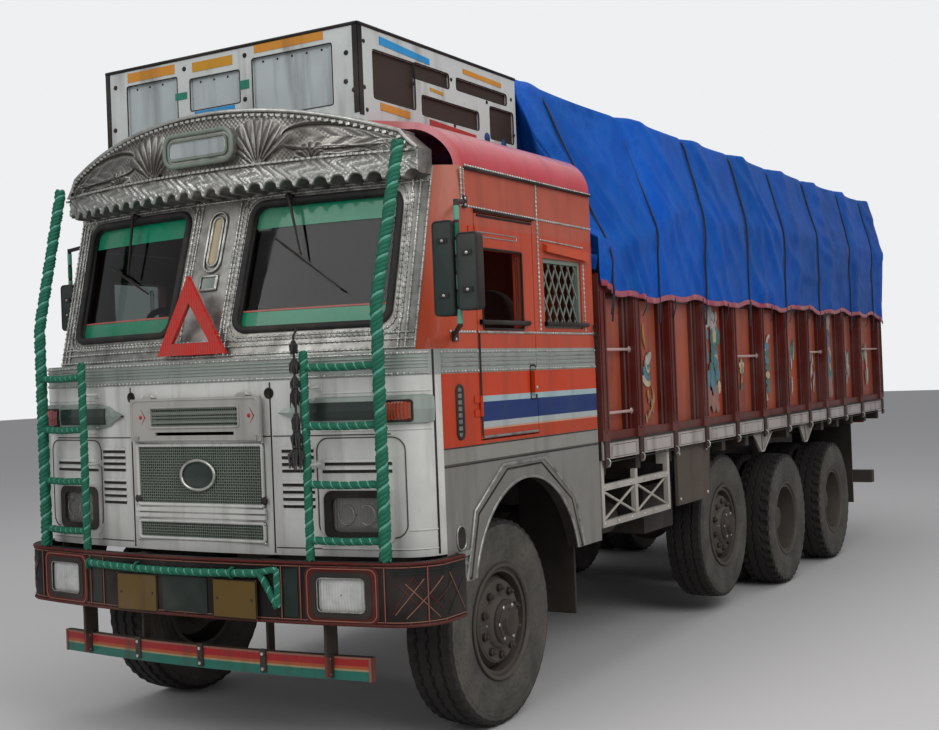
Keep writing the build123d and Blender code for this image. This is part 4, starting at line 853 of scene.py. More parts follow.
def outline_patch(build, outline, slot):
    """A thin painted shape; its points run anticlockwise seen from outside."""
    front = [Vector(p) for p in outline]
    count = len(front)
    normal = Vector((0, 0, 0))
    for k in range(count):
        normal += (front[k] - front[0]).cross(front[(k + 1) % count] - front[0])
    back = [p - normal.normalized() * patch_depth for p in front]
    faces = [tuple(range(count)), tuple(range(2 * count - 1, count - 1, -1))]
    faces += [(count + k, count + (k + 1) % count, (k + 1) % count, k) for k in range(count)]
    build.add(front + back, faces, slot)


def facing(side, outline):
    """The outline in the order in which it faces outward on one side."""
    return outline if side < 0 else outline[::-1]


# Ropes

rope_strands = 4


def helix(path, radius, pitch, phase, step):
    """Points of a strand wound round a path."""
    normal = None
    points = []
    for k, (spot, ahead) in enumerate(spaced(path, pitch / step)):
        if normal is None:
            helper = Vector(x_axis) if abs(ahead.x) < 0.9 else Vector(y_axis)
            normal = ahead.cross(helper).normalized()
        normal = (normal - ahead * normal.dot(ahead)).normalized()
        other = ahead.cross(normal)
        turn = phase + 2 * math.pi * k / step
        points.append(spot + (normal * math.cos(turn) + other * math.sin(turn)) * radius)
    return points


def wrap_rope(build, path, radius, pitch):
    """Twisted rope wound round a bar, with one pale strand."""
    for k in range(rope_strands):
        line = helix(path, radius * 0.60, pitch, 2 * math.pi * k / rope_strands, 7)
        build.tube(line, radius * (0.34 if k == 0 else 0.5), 1 if k == 0 else 0, 5)


def rope_guards():
    """Rope wound round every bar of the two climbing guards, and their white stays."""
    build = Build()
    inner_x, outer_x = at(1.012), at(0.950)
    for side in (1, -1):
        inner_y, outer_y = side * 0.705, side * 1.070
        inner = [(inner_x, inner_y, 0.944), (inner_x, inner_y, 1.880)]
        outer = [(outer_x, outer_y, 0.944), (outer_x, outer_y, 2.06), (outer_x - 0.012, side * 1.071, 2.12),
                 (at(0.755), side * 1.090, 2.815)]
        wrap_rope(build, inner, 0.020, 0.060)
        wrap_rope(build, outer, 0.029, 0.085)
        for z in (1.036, 1.286, 1.548, 1.812):
            rung = [(inner_x, inner_y, z), ((inner_x + outer_x) / 2, side * 0.89, z - 0.006),
                    (outer_x, outer_y, z)]
            wrap_rope(build, rung, 0.018, 0.045)
        foot = plan_x(lower_plan, cab_half, 0.705)
        for z in (1.370, 1.720):
            build.tube([(inner_x, inner_y, z), (foot, inner_y, z)], 0.009, 2, 8)
            build.slab((foot + 0.003, inner_y, z), y_axis, z_axis, (0.045, 0.032, 0.006), 2)
    build.make("guard_ropes", ["rope", "rope_light", "white"], slot="rope_green")
    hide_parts("guards")


def tassel():
    """Black woollen tassels tied one above the other to the left inner post."""
    build = Build()
    rng = random.Random(4)
    x, y = at(1.036), 0.672
    build.tube([(x - 0.012, y + 0.012, 1.985), (x, y, 1.955), (x, y, 1.38)], 0.006, 0, 6)
    for top, size, long in ((1.925, 0.020, 0.045), (1.845, 0.024, 0.050), (1.765, 0.020, 0.050),
                            (1.715, 0.026, 0.065), (1.600, 0.022, 0.070), (1.525, 0.030, 0.075),
                            (1.452, 0.042, 0.085)):
        build.dome((x, y, top), z_axis, size * 0.6, 0.012, 0, 8)
        for k in range(56):
            turn = 2 * math.pi * k / 56 + rng.random()
            spread = size * (0.30 + 0.70 * rng.random())
            root = Vector((x + 0.007 * math.cos(turn), y + 0.007 * math.sin(turn), top + 0.003))
            middle = Vector((x + spread * math.cos(turn), y + spread * math.sin(turn), top - long * 0.35))
            reach = spread * (0.5 + 0.7 * rng.random())
            low = top - long * (0.8 + 0.5 * rng.random())
            tip = Vector((x + reach * math.cos(turn), y + reach * math.sin(turn), low))
            build.tube([root, middle, tip], [0.0032, 0.0040, 0.0014], 0, 4)
    build.make("tassels", ["tassel"], slot="black_plastic")


# Crown

crown_top = 3.075
crown_low = 2.665
crown_split = 2.790
crown_shown = 1.127
crown_radius = (crown_half ** 2 + 0.275 ** 2) / (2 * 0.275)
scallop_pitch = 0.088
crown_fans = ((0.335, 2.775, 0.24, 13, 0.5, 2.6), (0.62, 2.775, 0.10, 7, 0.2, 2.9),
              (1.02, 2.775, 0.085, 7, 0.4, 3.1))


def crown_crest(y):
    """Top edge of the crown at y: a flat arc with its two corners cut off."""
    crest = crown_top - crown_radius + math.sqrt(crown_radius ** 2 - y * y)
    return min(crest, 2.870 - (abs(y) - 1.060)) if abs(y) > 1.060 else crest


def crown_relief():
    """Embossed sheet on the crown: lobed valance, beaded lines, fluted fans and long leaves."""
    build = Build()
    rows = []
    for y in np.linspace(-crown_shown, crown_shown, 720):
        y = float(y)
        crest = crown_crest(y) - 0.004
        near = abs((y / scallop_pitch) % 1 - 0.5) * scallop_pitch
        low = crown_low + (math.sqrt(0.036 ** 2 - near * near) if near < 0.036 else 0.0) + 0.001
        x0 = plan_x(crown_plan, crown_half, y)
        ahead = plan_x(crown_plan, crown_half, y + 0.01) - plan_x(crown_plan, crown_half, y - 0.01)
        normal = Vector((0.02, -ahead, 0)).normalized()
        end = 0.0 if crown_shown - abs(y) < 0.002 else 1.0
        column = []
        for v in np.linspace(0, 1, 84):
            z = low + (crest - low) * float(v)
            height = crown_height(y, z, crest) * end if 0 < v < 1 else 0.0
            column.append(Vector((x0, y, z)) + normal * (0.001 + height))
        rows.append(column)
    build.grid(rows, 0, True)
    rim = [(plan_x(crown_plan, crown_half, y) + 0.012, y, crown_crest(y) - 0.008)
           for y in np.linspace(-crown_shown, crown_shown, 90)]
    build.tube(rim, 0.010, 1, 8)
    for spot, _ in spaced([Vector(p) + Vector((0.010, 0, -0.024)) for p in rim], 0.036):
        build.slab(spot, y_axis, z_axis, (0.022, 0.011, 0.012), 1)
    line = [(plan_x(crown_plan, crown_half, y) + 0.016, y, crown_split) for y in np.linspace(-1.12, 1.12, 90)]
    build.tube(line, 0.006, 0, 6)
    for spot, _ in spaced(line, 0.030):
        build.slab(spot + Vector((0.004, 0, 0)), y_axis, z_axis, (0.018, 0.010, 0.010), 1)
    build.make("crown_relief", ["relief", "bead"], slot="silver_trim")


def crown_height(y, z, crest):
    """How far the embossed sheet stands out at a place."""
    side = abs(y)
    height = 0.0022 + 0.0012 * math.sin(y * 260) * math.sin(z * 260)
    if z < crown_split - 0.004:
        drop = (crown_split - z) / (crown_split - crown_low)
        lobe = (y / scallop_pitch) % 1
        lobe = min(lobe, 1 - lobe) * scallop_pitch
        r = math.hypot(lobe, z - crown_low - 0.030)
        shell = 0.007 * math.sin(min(math.pi, r / 0.040 * math.pi)) * (0.5 + 0.5 * abs(math.sin(r * 190)))
        vine = math.sin(y * 47 + 1.8 * math.sin(z * 70 + y * 21))
        garland = 0.008 * max(0.0, 1 - abs(vine)) * min(1.0, 6 * (1 - drop))
        return height + 0.004 + max(shell if r < 0.040 else 0.0, garland)
    top = min(1.0, max(0.0, (crest - z) / 0.025))
    for cy, cz, reach, folds, low_turn, high_turn in crown_fans:
        r = math.hypot(side - cy, z - cz)
        turn = math.atan2(z - cz, side - cy)
        if r < reach and low_turn < turn < high_turn:
            swell = math.sin(math.pi * min(1.0, (r / reach) ** 0.7)) ** 0.6
            height = max(height, 0.024 * swell * (0.25 + 0.75 * abs(math.sin(turn * folds))))
    for start, end, middle, half in ((0.47, 1.03, 2.895, 0.062), (0.60, 1.09, 2.822, 0.020)):
        share = (side - start) / (end - start)
        if 0 < share < 1:
            centre = middle - 0.055 * share * share
            tall = half * math.sin(math.pi * share ** 0.6) ** 0.55
            d = abs(z - centre) / max(tall, 0.002)
            if d < 1.25:
                rim = math.exp(-((d - 0.95) / 0.16) ** 2)
                vein = 0.35 * abs(math.sin(14 * share + 3 * d)) if d < 0.8 else 0.0
                height = max(height, 0.022 * max(rim, vein * (0.4 + share)))
    return height * top


def sign_frame():
    """Rounded frame, recessed blank panel and beads of the sign box."""
    build = Build()
    middle = Vector((at(0.835) + 0.040, 0, 2.9015))
    for shrink, out, thick in ((0.0, 0.0, 0.012), (0.028, 0.003, 0.006)):
        outline = rounded(0.214 - shrink, 0.075 - shrink, 0.055 - shrink, 8)
        ring = [middle + Vector((out, p, q)) for p, q in outline]
        build.tube(ring, thick, 0, 8, True)
    panel = [middle + Vector((0.001, p, q)) for p, q in rounded(0.184, 0.045, 0.030, 8)]
    build.add(panel, [tuple(range(len(panel)))], 1)
    ring = [middle + Vector((0.001, p, q)) for p, q in rounded(0.176, 0.037, 0.024, 8)]
    build.tube(ring, 0.0022, 2, 4, True)
    build.make("sign_frame", ["mesh", "box", "bead"], slot="silver_trim")


# Roof box

box_half = 0.820
side_panels = (((120, 490), 3.085, 3.320), ((480, 820), 3.245, 3.325), ((545, 1120), 3.070, 3.172),
               ((890, 1440), 3.255, 3.320), ((1240, 1510), 3.045, 3.225))
front_panels = (((150, 640), 3.055, 3.350), ((720, 1050), 3.145, 3.310), ((1135, 1490), 3.055, 3.335))


def box_details():
    """Painted strips, rivets, edge angles and corner posts of the roof box."""
    build = Build()
    front = at(0.660)
    for y0, y1, z, half, slot in (
            (-0.660, -0.330, 3.378, 0.024, 0), (-0.208, 0.057, 3.366, 0.024, 1),
            (0.199, 0.621, 3.396, 0.022, 0), (-0.202, 0.063, 3.122, 0.018, 2),
            (-0.330, -0.250, 3.231, 0.018, 6), (0.100, 0.160, 3.230, 0.022, 6)):
        build.box((front, y0, z - half), (front + 0.0025, y1, z + half), slot)
    for y, z in ((-0.752, 3.341), (-0.764, 3.116), (0.753, 3.289), (0.746, 3.154), (0.792, 3.109),
                 (-0.264, 3.368), (0.137, 3.374), (0.131, 3.157)):
        build.dome((front, y, z), x_axis, 0.013, 0.007, 3, 10)
    for side in (1, -1):
        y = side * box_half
        out = side * 0.0025
        for shape, slot in (
                (((0.48, 3.393), (0.03, 3.367), (0.03, 3.336), (0.48, 3.353)), 2),
                (((0.488, 3.072), (0.227, 3.066), (0.227, 3.030), (0.488, 3.036)), 0),
                (((0.047, 3.058), (-0.42, 3.040), (-0.42, 3.008), (0.047, 3.024)), 4),
                (((-0.303, 3.380), (-0.72, 3.372), (-0.72, 3.346), (-0.303, 3.354)), 0),
                (((0.035, 3.222), (-0.096, 3.216), (-0.096, 3.200), (0.035, 3.206)), 1)):
            points = [Vector((at(x), y + out, z)) for x, z in shape]
            foot = [p - Vector((0, out, 0)) for p in points]
            outline_patch(build, facing(side, points), slot)
            build.add(points + foot, rim_faces, slot)
        for x, z in ((-0.541, 3.043), (-0.726, 3.028)):
            build.lathe((at(x), y, z), (0, side, 0), [(0.030, 0), (0.028, 0.003), (0.0002, 0.0035)], 5, 18)
        for x, z in ((0.611, 3.344), (0.616, 3.125), (0.600, 3.02), (0.19, 3.215), (-0.18, 3.30),
                     (-0.20, 3.06), (-0.55, 3.24), (-0.83, 3.30), (-0.85, 3.10)):
            build.dome((at(x), y, z), (0, side, 0), 0.011, 0.006, 3, 10)
        build.box((front - 0.035, y, 2.99), (front + 0.002, y + side * 0.002, 3.425), 3)
        build.box((front, y - side * 0.030, 3.00), (front + 0.002, y + side * 0.002, 3.425), 3)
        build.tube([(at(-0.878), y, 3.422), (front - 0.002, y, 3.422)], 0.009, 3, 6)
        for (start, end), low, high in side_panels:
            middle_x = front - (start + end) / 2000
            middle = (middle_x, y - side * 0.001, (low + high) / 2)
            loop = along_loop(middle, (end - start) / 2000, (high - low) / 2, 0.020)
            build.tube(loop, 0.0035, 3, 5, True)
    build.tube([(front, -0.818, 3.422), (front, 0.818, 3.422)], 0.009, 3, 6)
    for (start, end), low, high in front_panels:
        middle_y = box_half - (start + end) / 2000
        half_w, half_h = (end - start) / 2000, (high - low) / 2
        loop = across_loop((front - 0.001, middle_y, (low + high) / 2), half_w, half_h, 0.012)
        build.tube(loop, 0.0035, 3, 5, True)
        for k in range(int(2 * half_w / 0.09)):
            y = middle_y - half_w + 0.06 + 0.09 * k
            build.dome((front - 0.0155, y, high - 0.02), x_axis, 0.006, 0.004, 3, 8)
    build.make("box_details", ["amber", "yellow", "blue", "black_metal", "red", "navy", "teal"],
               slot="box_paint")


# Windscreens

pane_y, pane_z = 0.6025, 2.31
pane_half_w, pane_half_h = 0.3975, 0.31
pane_corner = 0.07


def face_loop(half_w, half_h, corner, middle_y, middle_z, out):
    """A rounded loop laid on the leaning front."""
    points = []
    outline = rounded(half_w, half_h, corner, 6)
    for k, (p, q) in enumerate(outline):
        a = Vector(outline[k - 1])
        b = Vector((p, q))
        parts = max(1, int((b - a).length / 0.06))
        for n in range(1, parts + 1):
            spot = a.lerp(b, n / parts)
            points.append(screen_face(middle_y + spot.x, middle_z + spot.y, out)[0])
    return points


def screen_trim():
    """Rubber round the panes, beaded loops, and rows of beads up and across the front."""
    build = Build()
    for side in (1, -1):
        middle = side * pane_y
        for out, size in ((0.004, 0.017), (-0.022, 0.014)):
            loop = face_loop(pane_half_w, pane_half_h, pane_corner, middle, pane_z, out)
            build.tube(loop, size, 1, 8, True)
        for grow, size in ((0.034, 0.0075), (0.062, 0.0065)):
            loop = face_loop(pane_half_w + grow, pane_half_h + min(grow, 0.05), 0.08, middle, pane_z, 0.002)
            build.tube(loop, 0.0035, 0, 6, True)
            for spot, _ in spaced(loop + loop[:1], 0.03 if grow < 0.05 else 0.024):
                _, normal = screen_face(spot.y, min(2.72, max(1.88, spot.z)))
                build.dome(spot, normal, size, size, 0, 8)
    for y in (-1.13, -1.09, -1.055, -0.165, -0.125, 0.125, 0.165, 1.055, 1.09, 1.13):
        line = [screen_face(y, z, 0.003)[0] for z in np.linspace(1.885, 2.66, 24)]
        build.tube(line, 0.0045, 0, 6)
        for spot, _ in spaced(line, 0.028):
            _, normal = screen_face(y, spot.z)
            build.dome(spot, normal, 0.0072, 0.008, 0, 6)
    for z in (1.885, 1.925, 1.955, 2.655):
        line = [screen_face(y, z, 0.003)[0] for y in np.linspace(-1.12, 1.12, 80)]
        build.tube(line, 0.0045, 0, 6)
        for spot, _ in spaced(line, 0.026):
            build.dome(spot, screen_face(spot.y, z)[1], 0.007, 0.008, 0, 6)
    build.make("screen_trim", ["bead", "rubber"], slot="silver_trim")


def pillar_niche():
    """Arched niche and small box frame on the centre pillar."""
    build = Build()
    for half_w, low, high, corner in ((0.052, 2.30, 2.60, 0.05), (0.032, 2.33, 2.575, 0.031)):
        middle = (low + high) / 2
        loop = face_loop(half_w, (high - low) / 2, corner, 0.0, middle, 0.008)
        build.tube(loop, 0.007, 0, 6, True)
    inner = [screen_face(p, 2.4525 + q, 0.003)[0] for p, q in rounded(0.03, 0.12, 0.029, 6)]
    build.add(inner, [tuple(range(len(inner)))], 1)
    loop = face_loop(0.052, 0.035, 0.004, 0.0, 2.245, 0.008)
    build.tube(loop, 0.007, 0, 6, True)
    inner = [screen_face(p, 2.245 + q, 0.003)[0] for p, q in rounded(0.046, 0.03, 0.004, 2)]
    build.add(inner, [tuple(range(len(inner)))], 2)
    build.make("pillar_niche", ["bead", "cream", "band"], slot="silver_trim")


def screen_bands():
    """Green film across the top and foot of each pane, with a thin pink edge."""
    build = Build()
    for side in (1, -1):
        for low, high, slot in ((2.505, 2.606, 0), (2.016, 2.094, 0), (2.096, 2.104, 1)):
            rows = []
            for y in np.linspace(0.222, 0.985, 30):
                y = float(y)
                edge = min(y - 0.205, 1.0 - y)
                near = pane_corner - min(edge, pane_corner)
                cut = pane_corner - math.sqrt(max(0.0, pane_corner ** 2 - near ** 2))
                top = min(high, 2.62 - cut - 0.004)
                foot = max(low, 2.0 + cut + 0.004)
                if top <= foot:
                    continue
                rows.append([screen_face(side * y, z, -0.0255)[0] for z in np.linspace(foot, top, 4)])
            build.grid(rows, slot, True)
    build.make("screen_bands", ["screen_green", "pink"], slot="rope_green")


def screen_line(start, end, steps):
    """Points on the leaning front between two places, each at a share of the way and a distance out."""
    points = []
    for t, out in steps:
        y = start[0] + (end[0] - start[0]) * t
        z = start[1] + (end[1] - start[1]) * t
        points.append(screen_face(y, z, out)[0])
    return points


def wipers():
    """Two parked wipers, each with its pivot, arm, blade and bow."""
    build = Build()
    for pivot, elbow, tip_a, tip_b in (
            ((0.42, 2.635), (0.53, 2.34), (0.36, 2.44), (0.76, 2.17)),
            ((-0.62, 2.635), (-0.60, 2.33), (-0.80, 2.40), (-0.42, 2.22))):
        knob = [(0.018, 0), (0.018, 0.03), (0.0002, 0.036)]
        build.lathe(screen_face(*pivot)[0], (1, 0, 0.2), knob, 0, 14)
        arm = screen_line(pivot, elbow, [(t, 0.034 - 0.018 * t) for t in np.linspace(0, 1, 6)])
        build.tube(arm, [0.008, 0.008, 0.007, 0.006, 0.005, 0.005], 0, 6)
        blade = screen_line(tip_a, tip_b, [(t, 0.002) for t in np.linspace(0, 1, 9)])
        build.tube(blade, 0.0045, 0, 6)
        curve = [(t, 0.004 + 0.016 * math.sin(math.pi * t)) for t in np.linspace(0.08, 0.92, 9)]
        bow = screen_line(tip_a, tip_b, curve)
        build.tube(bow, 0.0038, 0, 6)
    build.make("wipers", ["black_metal"], slot="black_plastic")


# Front panel

pressing_y, pressing_z = 0.905, 1.262
emblem_z = 1.318
turn_z = 1.6075
lens_y, lens_z = 1.0875, 1.6025
upper_lamp_y, upper_lamp_z = 0.880, 1.139
lower_lamp_y, lower_lamp_z = 0.868, 0.797
dome_shares = (1.0, 0.8, 0.55, 0.3, 0.03)


def panel_spot(y, z, out=0.0):
    """A point on the front panel, moved out along its normal, and that normal."""
    x = plan_x(lower_plan, cab_half, y)
    near = plan_x(lower_plan, cab_half, abs(y) - 0.01)
    far = plan_x(lower_plan, cab_half, min(abs(y) + 0.01, cab_half - 0.002))
    normal = Vector((0.02, math.copysign(near - far, y), 0)).normalized()
    return Vector((x, y, z)) + normal * out, normal


def panel_line(side, ends, z, out, count):
    """Points across the panel at one height, between two distances from its middle."""
    return [panel_spot(side * float(y), z, out)[0] for y in np.linspace(*ends, count)]


def panel_rib(y, steps):
    """Points up the panel at one place, each at its own height and depth."""
    return [panel_spot(y, z, out)[0] for z, out in steps]


def front_band():
    """Bead rows and pressed ribs of the band under the windscreens."""
    build = Build()
    for z in bead_heights:
        line = panel_line(1, (-1.21, 1.21), z, 0.002, 100)
        build.tube(line, 0.0045, 0, 6)
        for spot, _ in spaced(line, 0.028):
            build.dome(spot, panel_spot(spot.y, z)[1], 0.0075, 0.007, 0, 6)
    for z in (1.840, 1.825, 1.810, 1.795):
        line = panel_line(1, (-1.21, 1.21), z, 0.001, 60)
        build.tube(line, 0.0048, 1, 6)
    build.make("front_band", ["bead", "band"], slot="silver_trim")


def louvres():
    """Pressed louvres, the lamp pressing and the seams of the white panel."""
    build = Build()
    groups = ((0.495, 0.675, (1.442, 1.412, 1.381, 1.350)), (0.710, 1.065, (1.381, 1.347)),
              (0.495, 0.675, (1.286, 1.253, 1.220, 1.187)))
    for side in (1, -1):
        for start, end, heights in groups:
            for z in heights:
                rows = []
                for y in np.linspace(start, end, 12):
                    y = side * float(y)
                    share = min(1.0, 8 * min(abs(y) - start, end - abs(y)) / (end - start) + 0.05)
                    rows.append(panel_rib(y, ((z + 0.009, 0.0015), (z + 0.002, 0.010 * share),
                                              (z - 0.004, 0.011 * share), (z - 0.005, 0.0015))))
                build.grid(rows, 0, False)
                rows = [panel_rib(side * float(y), ((z - 0.0055, 0.002), (z - 0.019, 0.002)))
                        for y in np.linspace(start + 0.004, end - 0.004, 10)]
                build.grid(rows, 1, False)
        line = [panel_spot(side * 0.445, z, 0.001)[0] for z in np.linspace(0.96, 1.75, 8)]
        build.tube(line, 0.004, 1, 4)
        loop = [panel_spot(side * (pressing_y + p), pressing_z + q, 0.001)[0]
                for p, q in rounded(0.218, 0.225, 0.060, 7)]
        build.tube(loop, 0.0032, 2, 6, True)
        for z in (0.985, 1.070):
            line = panel_line(side, (0.70 if z < 1 else 1.13, 1.222), z, 0.0, 16)
            build.tube(line, 0.004, 0, 6)
        for z in (1.500, 0.985):
            line = panel_line(side, (0.455, 1.06), z, 0.001, 16)
            build.tube(line, 0.0028, 2, 4)
        seam = [panel_spot(side * 1.222, float(z), 0.0)[0] for z in np.linspace(0.96, sill_z, 24)]
        build.tube(seam, 0.006, 1, 6)
    build.tube(panel_line(1, (-0.445, 0.445), 1.500, 0.001, 16), 0.0028, 1, 4)
    build.make("panel_louvres", ["white", "black_metal", "mud_line"], slot="white_paint")


def lens_cap(build, face, size, corner, bulge, slot):
    """A slightly domed closed face in a rounded outline; face gives the carrying surface."""
    rows = []
    for share in dome_shares:
        loop = rounded(size[0] * share, size[1] * share, corner * share, 5)
        rows.append([face(p, q, -0.006 + bulge * (1 - share * share)) for p, q in loop])
    build.grid(rows, slot, True, True)


def lamp_ring(build, face, outer, inner, lift, slot):
    """A flat frame between two outlines (half width, half height, corner), folded in at its inner edge."""
    steps = ((outer, 0.0), (outer, lift), (inner, lift), (inner, -0.012))
    loops = [[face(p, q, out) for p, q in rounded(*outline, 6)] for outline, out in steps]
    build.grid(loops, slot, False, True)


def mesh_grilles():
    """Woven wire over the two grilles with painted shade behind it, their frames, the bare oval ring, the
    white bar and studs.
    """
    build = Build()
    x = at(0.948)
    half, pitch, weave, wire = 0.384, 0.0135, 0.0016, 0.0024
    for low, high in ((1.183, 1.452), (1.018, 1.083)):
        middle, tall = (low + high) / 2, (high - low) / 2
        columns = int(2 * half / pitch) + 1
        levels = int((high - low) / pitch) + 1
        for k in range(columns):
            line = [(x + (weave if (k + n) % 2 else -weave), -half + pitch * k, float(z))
                    for n, z in enumerate(np.linspace(low, high, levels))]
            build.tube(line, wire, 0, 4)
        for n in range(levels):
            line = [(x + (-weave if (k + n) % 2 else weave), float(y), low + pitch * n)
                    for k, y in enumerate(np.linspace(-half, half, columns))]
            build.tube(line, wire, 0, 4)
        loop = across_loop((x + 0.002, 0, middle), half + 0.012, tall + 0.010, 0.014)
        build.tube(loop, 0.009, 1, 6, True)
        # A dark sheet just behind the wire: painted shade.
        behind = across_loop((x - 0.0055, 0, middle), half + 0.006, tall + 0.006, 0.01)
        outline_patch(build, behind, 3)
    for z in (1.112, 1.140):
        build.box((x + 0.002, -0.41, z), (x + 0.014, 0.41, z + 0.020), 1)
    turns = full_turn(44)
    ring = [(x + 0.010, 0.106 * math.cos(a), emblem_z + 0.071 * math.sin(a)) for a in turns]
    build.tube(ring, 0.0085, 2, 8, True)
    rows = []
    for share in dome_shares:
        lift = x + 0.004 + 0.006 * (1 - share * share)
        rows.append([(lift, 0.102 * share * math.cos(a), emblem_z + 0.067 * share * math.sin(a))
                     for a in turns])
    build.grid(rows, 5, True, True)
    for y in (-0.40, 0.40):
        for z in (1.16, 1.475, 1.09, 1.0):
            build.dome((x + 0.006, y, z), x_axis, 0.008, 0.005, 2, 8)
        build.dome((x + 0.004, y, 1.200), x_axis, 0.021, 0.010, 4, 18)
    for side in (1, -1):
        spot, normal = panel_spot(side * 0.440, 1.700, 0.0)
        profile = [(0.026, 0.0), (0.026, 0.004), (0.020, 0.005), (0.018, 0.001), (0.0002, 0.001)]
        build.lathe(spot, normal, profile, 4, 20)
    build.make("mesh_grilles", ["mesh", "white", "bead", "mesh_back_painted_shade", "black_metal", "screen_dark"],
               slot="grille_paint")


def lid_details():
    """Wire mesh, catch and rims on the front lid."""
    build = Build()
    x = at(0.955 + 0.006 + 0.014)
    for k in range(41):
        y = -0.272 + 0.0136 * k
        build.tube([(x - 0.003, y, 1.556), (x - 0.003, y, 1.639)], 0.002, 0, 4)
    for n in range(7):
        z = 1.557 + 0.0134 * n
        build.tube([(x - 0.002, -0.274, z), (x - 0.002, 0.274, z)], 0.002, 0, 4)
    loop = across_loop((x + 0.001, 0, 1.5975), 0.282, 0.049, 0.012)
    build.tube(loop, 0.006, 1, 6, True)
    rim = across_loop((x, 0, 1.5855), 0.404, 0.097, 0.03)
    build.tube(rim, 0.005, 1, 6, True)
    for side in (1, -1):
        corners = ((0.03, 0), (0, 0.045), (-0.03, 0), (0, -0.045))
        diamond = [(x + 0.0015, side * 0.345 + p, 1.60 + q) for p, q in corners]
        build.tube(diamond, 0.0035, 2, 4, True)
        build.dome((x, side * 0.345, 1.60), x_axis, 0.010, 0.005, 2, 10)
        build.slab((x + 0.004, side * 0.375, 1.497), y_axis, z_axis, (0.035, 0.02, 0.01), 3)
    build.make("lid_details", ["mesh", "lid", "red", "bead"], "front_lid", slot="white_paint")


def turn_lamps():
    """Tapered grey housings beside the lid, each with a dark glass strip and a ribbed lens."""
    build = Build()
    for side in (1, -1):
        tall = [(0.500, 0.004), (0.56, 0.025), (0.60, 0.048), (0.66, 0.060)]
        tall += [(float(y), 0.066) for y in np.linspace(0.7, 1.20, 14)] + [(1.218, 0.060)]
        rows = []
        for y, h in tall:
            rows.append(panel_rib(side * y, ((turn_z - h, 0.001), (turn_z - h * 0.9, 0.016), (turn_z, 0.021),
                                             (turn_z + h * 0.9, 0.016), (turn_z + h, 0.001))))
        build.grid(rows, 0, False)
        lens = ((1.562, 0.019), (1.568, 0.026), (lens_z, 0.030), (1.637, 0.026), (1.643, 0.019))
        rows = [panel_rib(side * float(y), lens) for y in np.linspace(1.025, 1.150, 8)]
        build.grid(rows, 1 if side > 0 else 2, False)
        loop = [panel_spot(side * (lens_y + p), lens_z + q, 0.021)[0]
                for p, q in rounded(0.068, 0.046, 0.010)]
        build.tube(loop, 0.005, 5, 6, True)
        for y in (0.69, 1.01):
            for dz in (-0.054, 0.054):
                spot, normal = panel_spot(side * y, turn_z + dz, 0.017)
                build.dome(spot, normal, 0.006, 0.005, 3, 8)
        strip = ((1.566, 0.018), (1.568, 0.0215), (turn_z, 0.0235), (1.647, 0.0215), (1.649, 0.018))
        build.grid([panel_rib(side * float(y), strip) for y in np.linspace(0.62, 1.0, 12)], 4, False)
        for z in (1.690, 1.520):
            build.tube(panel_line(side, (0.72, 1.215), z, 0.001, 24), 0.004, 6, 6)
    build.make("turn_lamps", ["band", "lens_amber", "lens_red", "bead", "lamp_glass", "black_metal", "white"],
               slot="lamp_red")


def head_lamp_details():
    """Surrounds, dark frames and ribbed lenses of the four lamps."""
    build = Build()
    for side in (1, -1):
        def upper(p, q, out):
            return panel_spot(side * upper_lamp_y + p, upper_lamp_z + q, out)[0]

        def lower(p, q, out):
            y = side * lower_lamp_y + p
            return Vector((plan_x(bumper_plan, bumper_half, y) + out, y, lower_lamp_z + q))

        lamp_ring(build, upper, (0.184, 0.126, 0.030), (0.156, 0.106, 0.040), 0.004, 0)
        lamp_ring(build, upper, (0.160, 0.110, 0.042), (0.122, 0.078, 0.030), 0.012, 1)
        lens_cap(build, upper, (0.124, 0.080), 0.030, 0.008, 2)
        lamp_ring(build, lower, (0.182, 0.126, 0.040), (0.146, 0.100, 0.034), 0.005, 3)
        lamp_ring(build, lower, (0.148, 0.102, 0.034), (0.118, 0.076, 0.022), 0.008, 1)
        lens_cap(build, lower, (0.120, 0.078), 0.022, 0.010, 4)
        build.tube([lower(p, q, 0.006) for p, q in rounded(0.170, 0.116, 0.036, 6)], 0.0028, 5, 6, True)
        build.tube([lower(p, q, 0.009) for p, q in rounded(0.117, 0.075, 0.022, 6)], 0.0028, 6, 6, True)
        for dy in (-0.052, 0.052):
            spot = upper(dy, 0.0, 0.001)
            ring = [spot + Vector((0.002, 0.044 * math.cos(a), 0.044 * math.sin(a))) for a in full_turn(24)]
            build.tube(ring, 0.0022, 6, 5, True)
    build.make("lamp_bezels", ["white", "black_metal", "lens_dark", "bumper_red", "lens_bright",
                               "pale_line", "silver"], slot="silver_trim")


# Bumper and plank

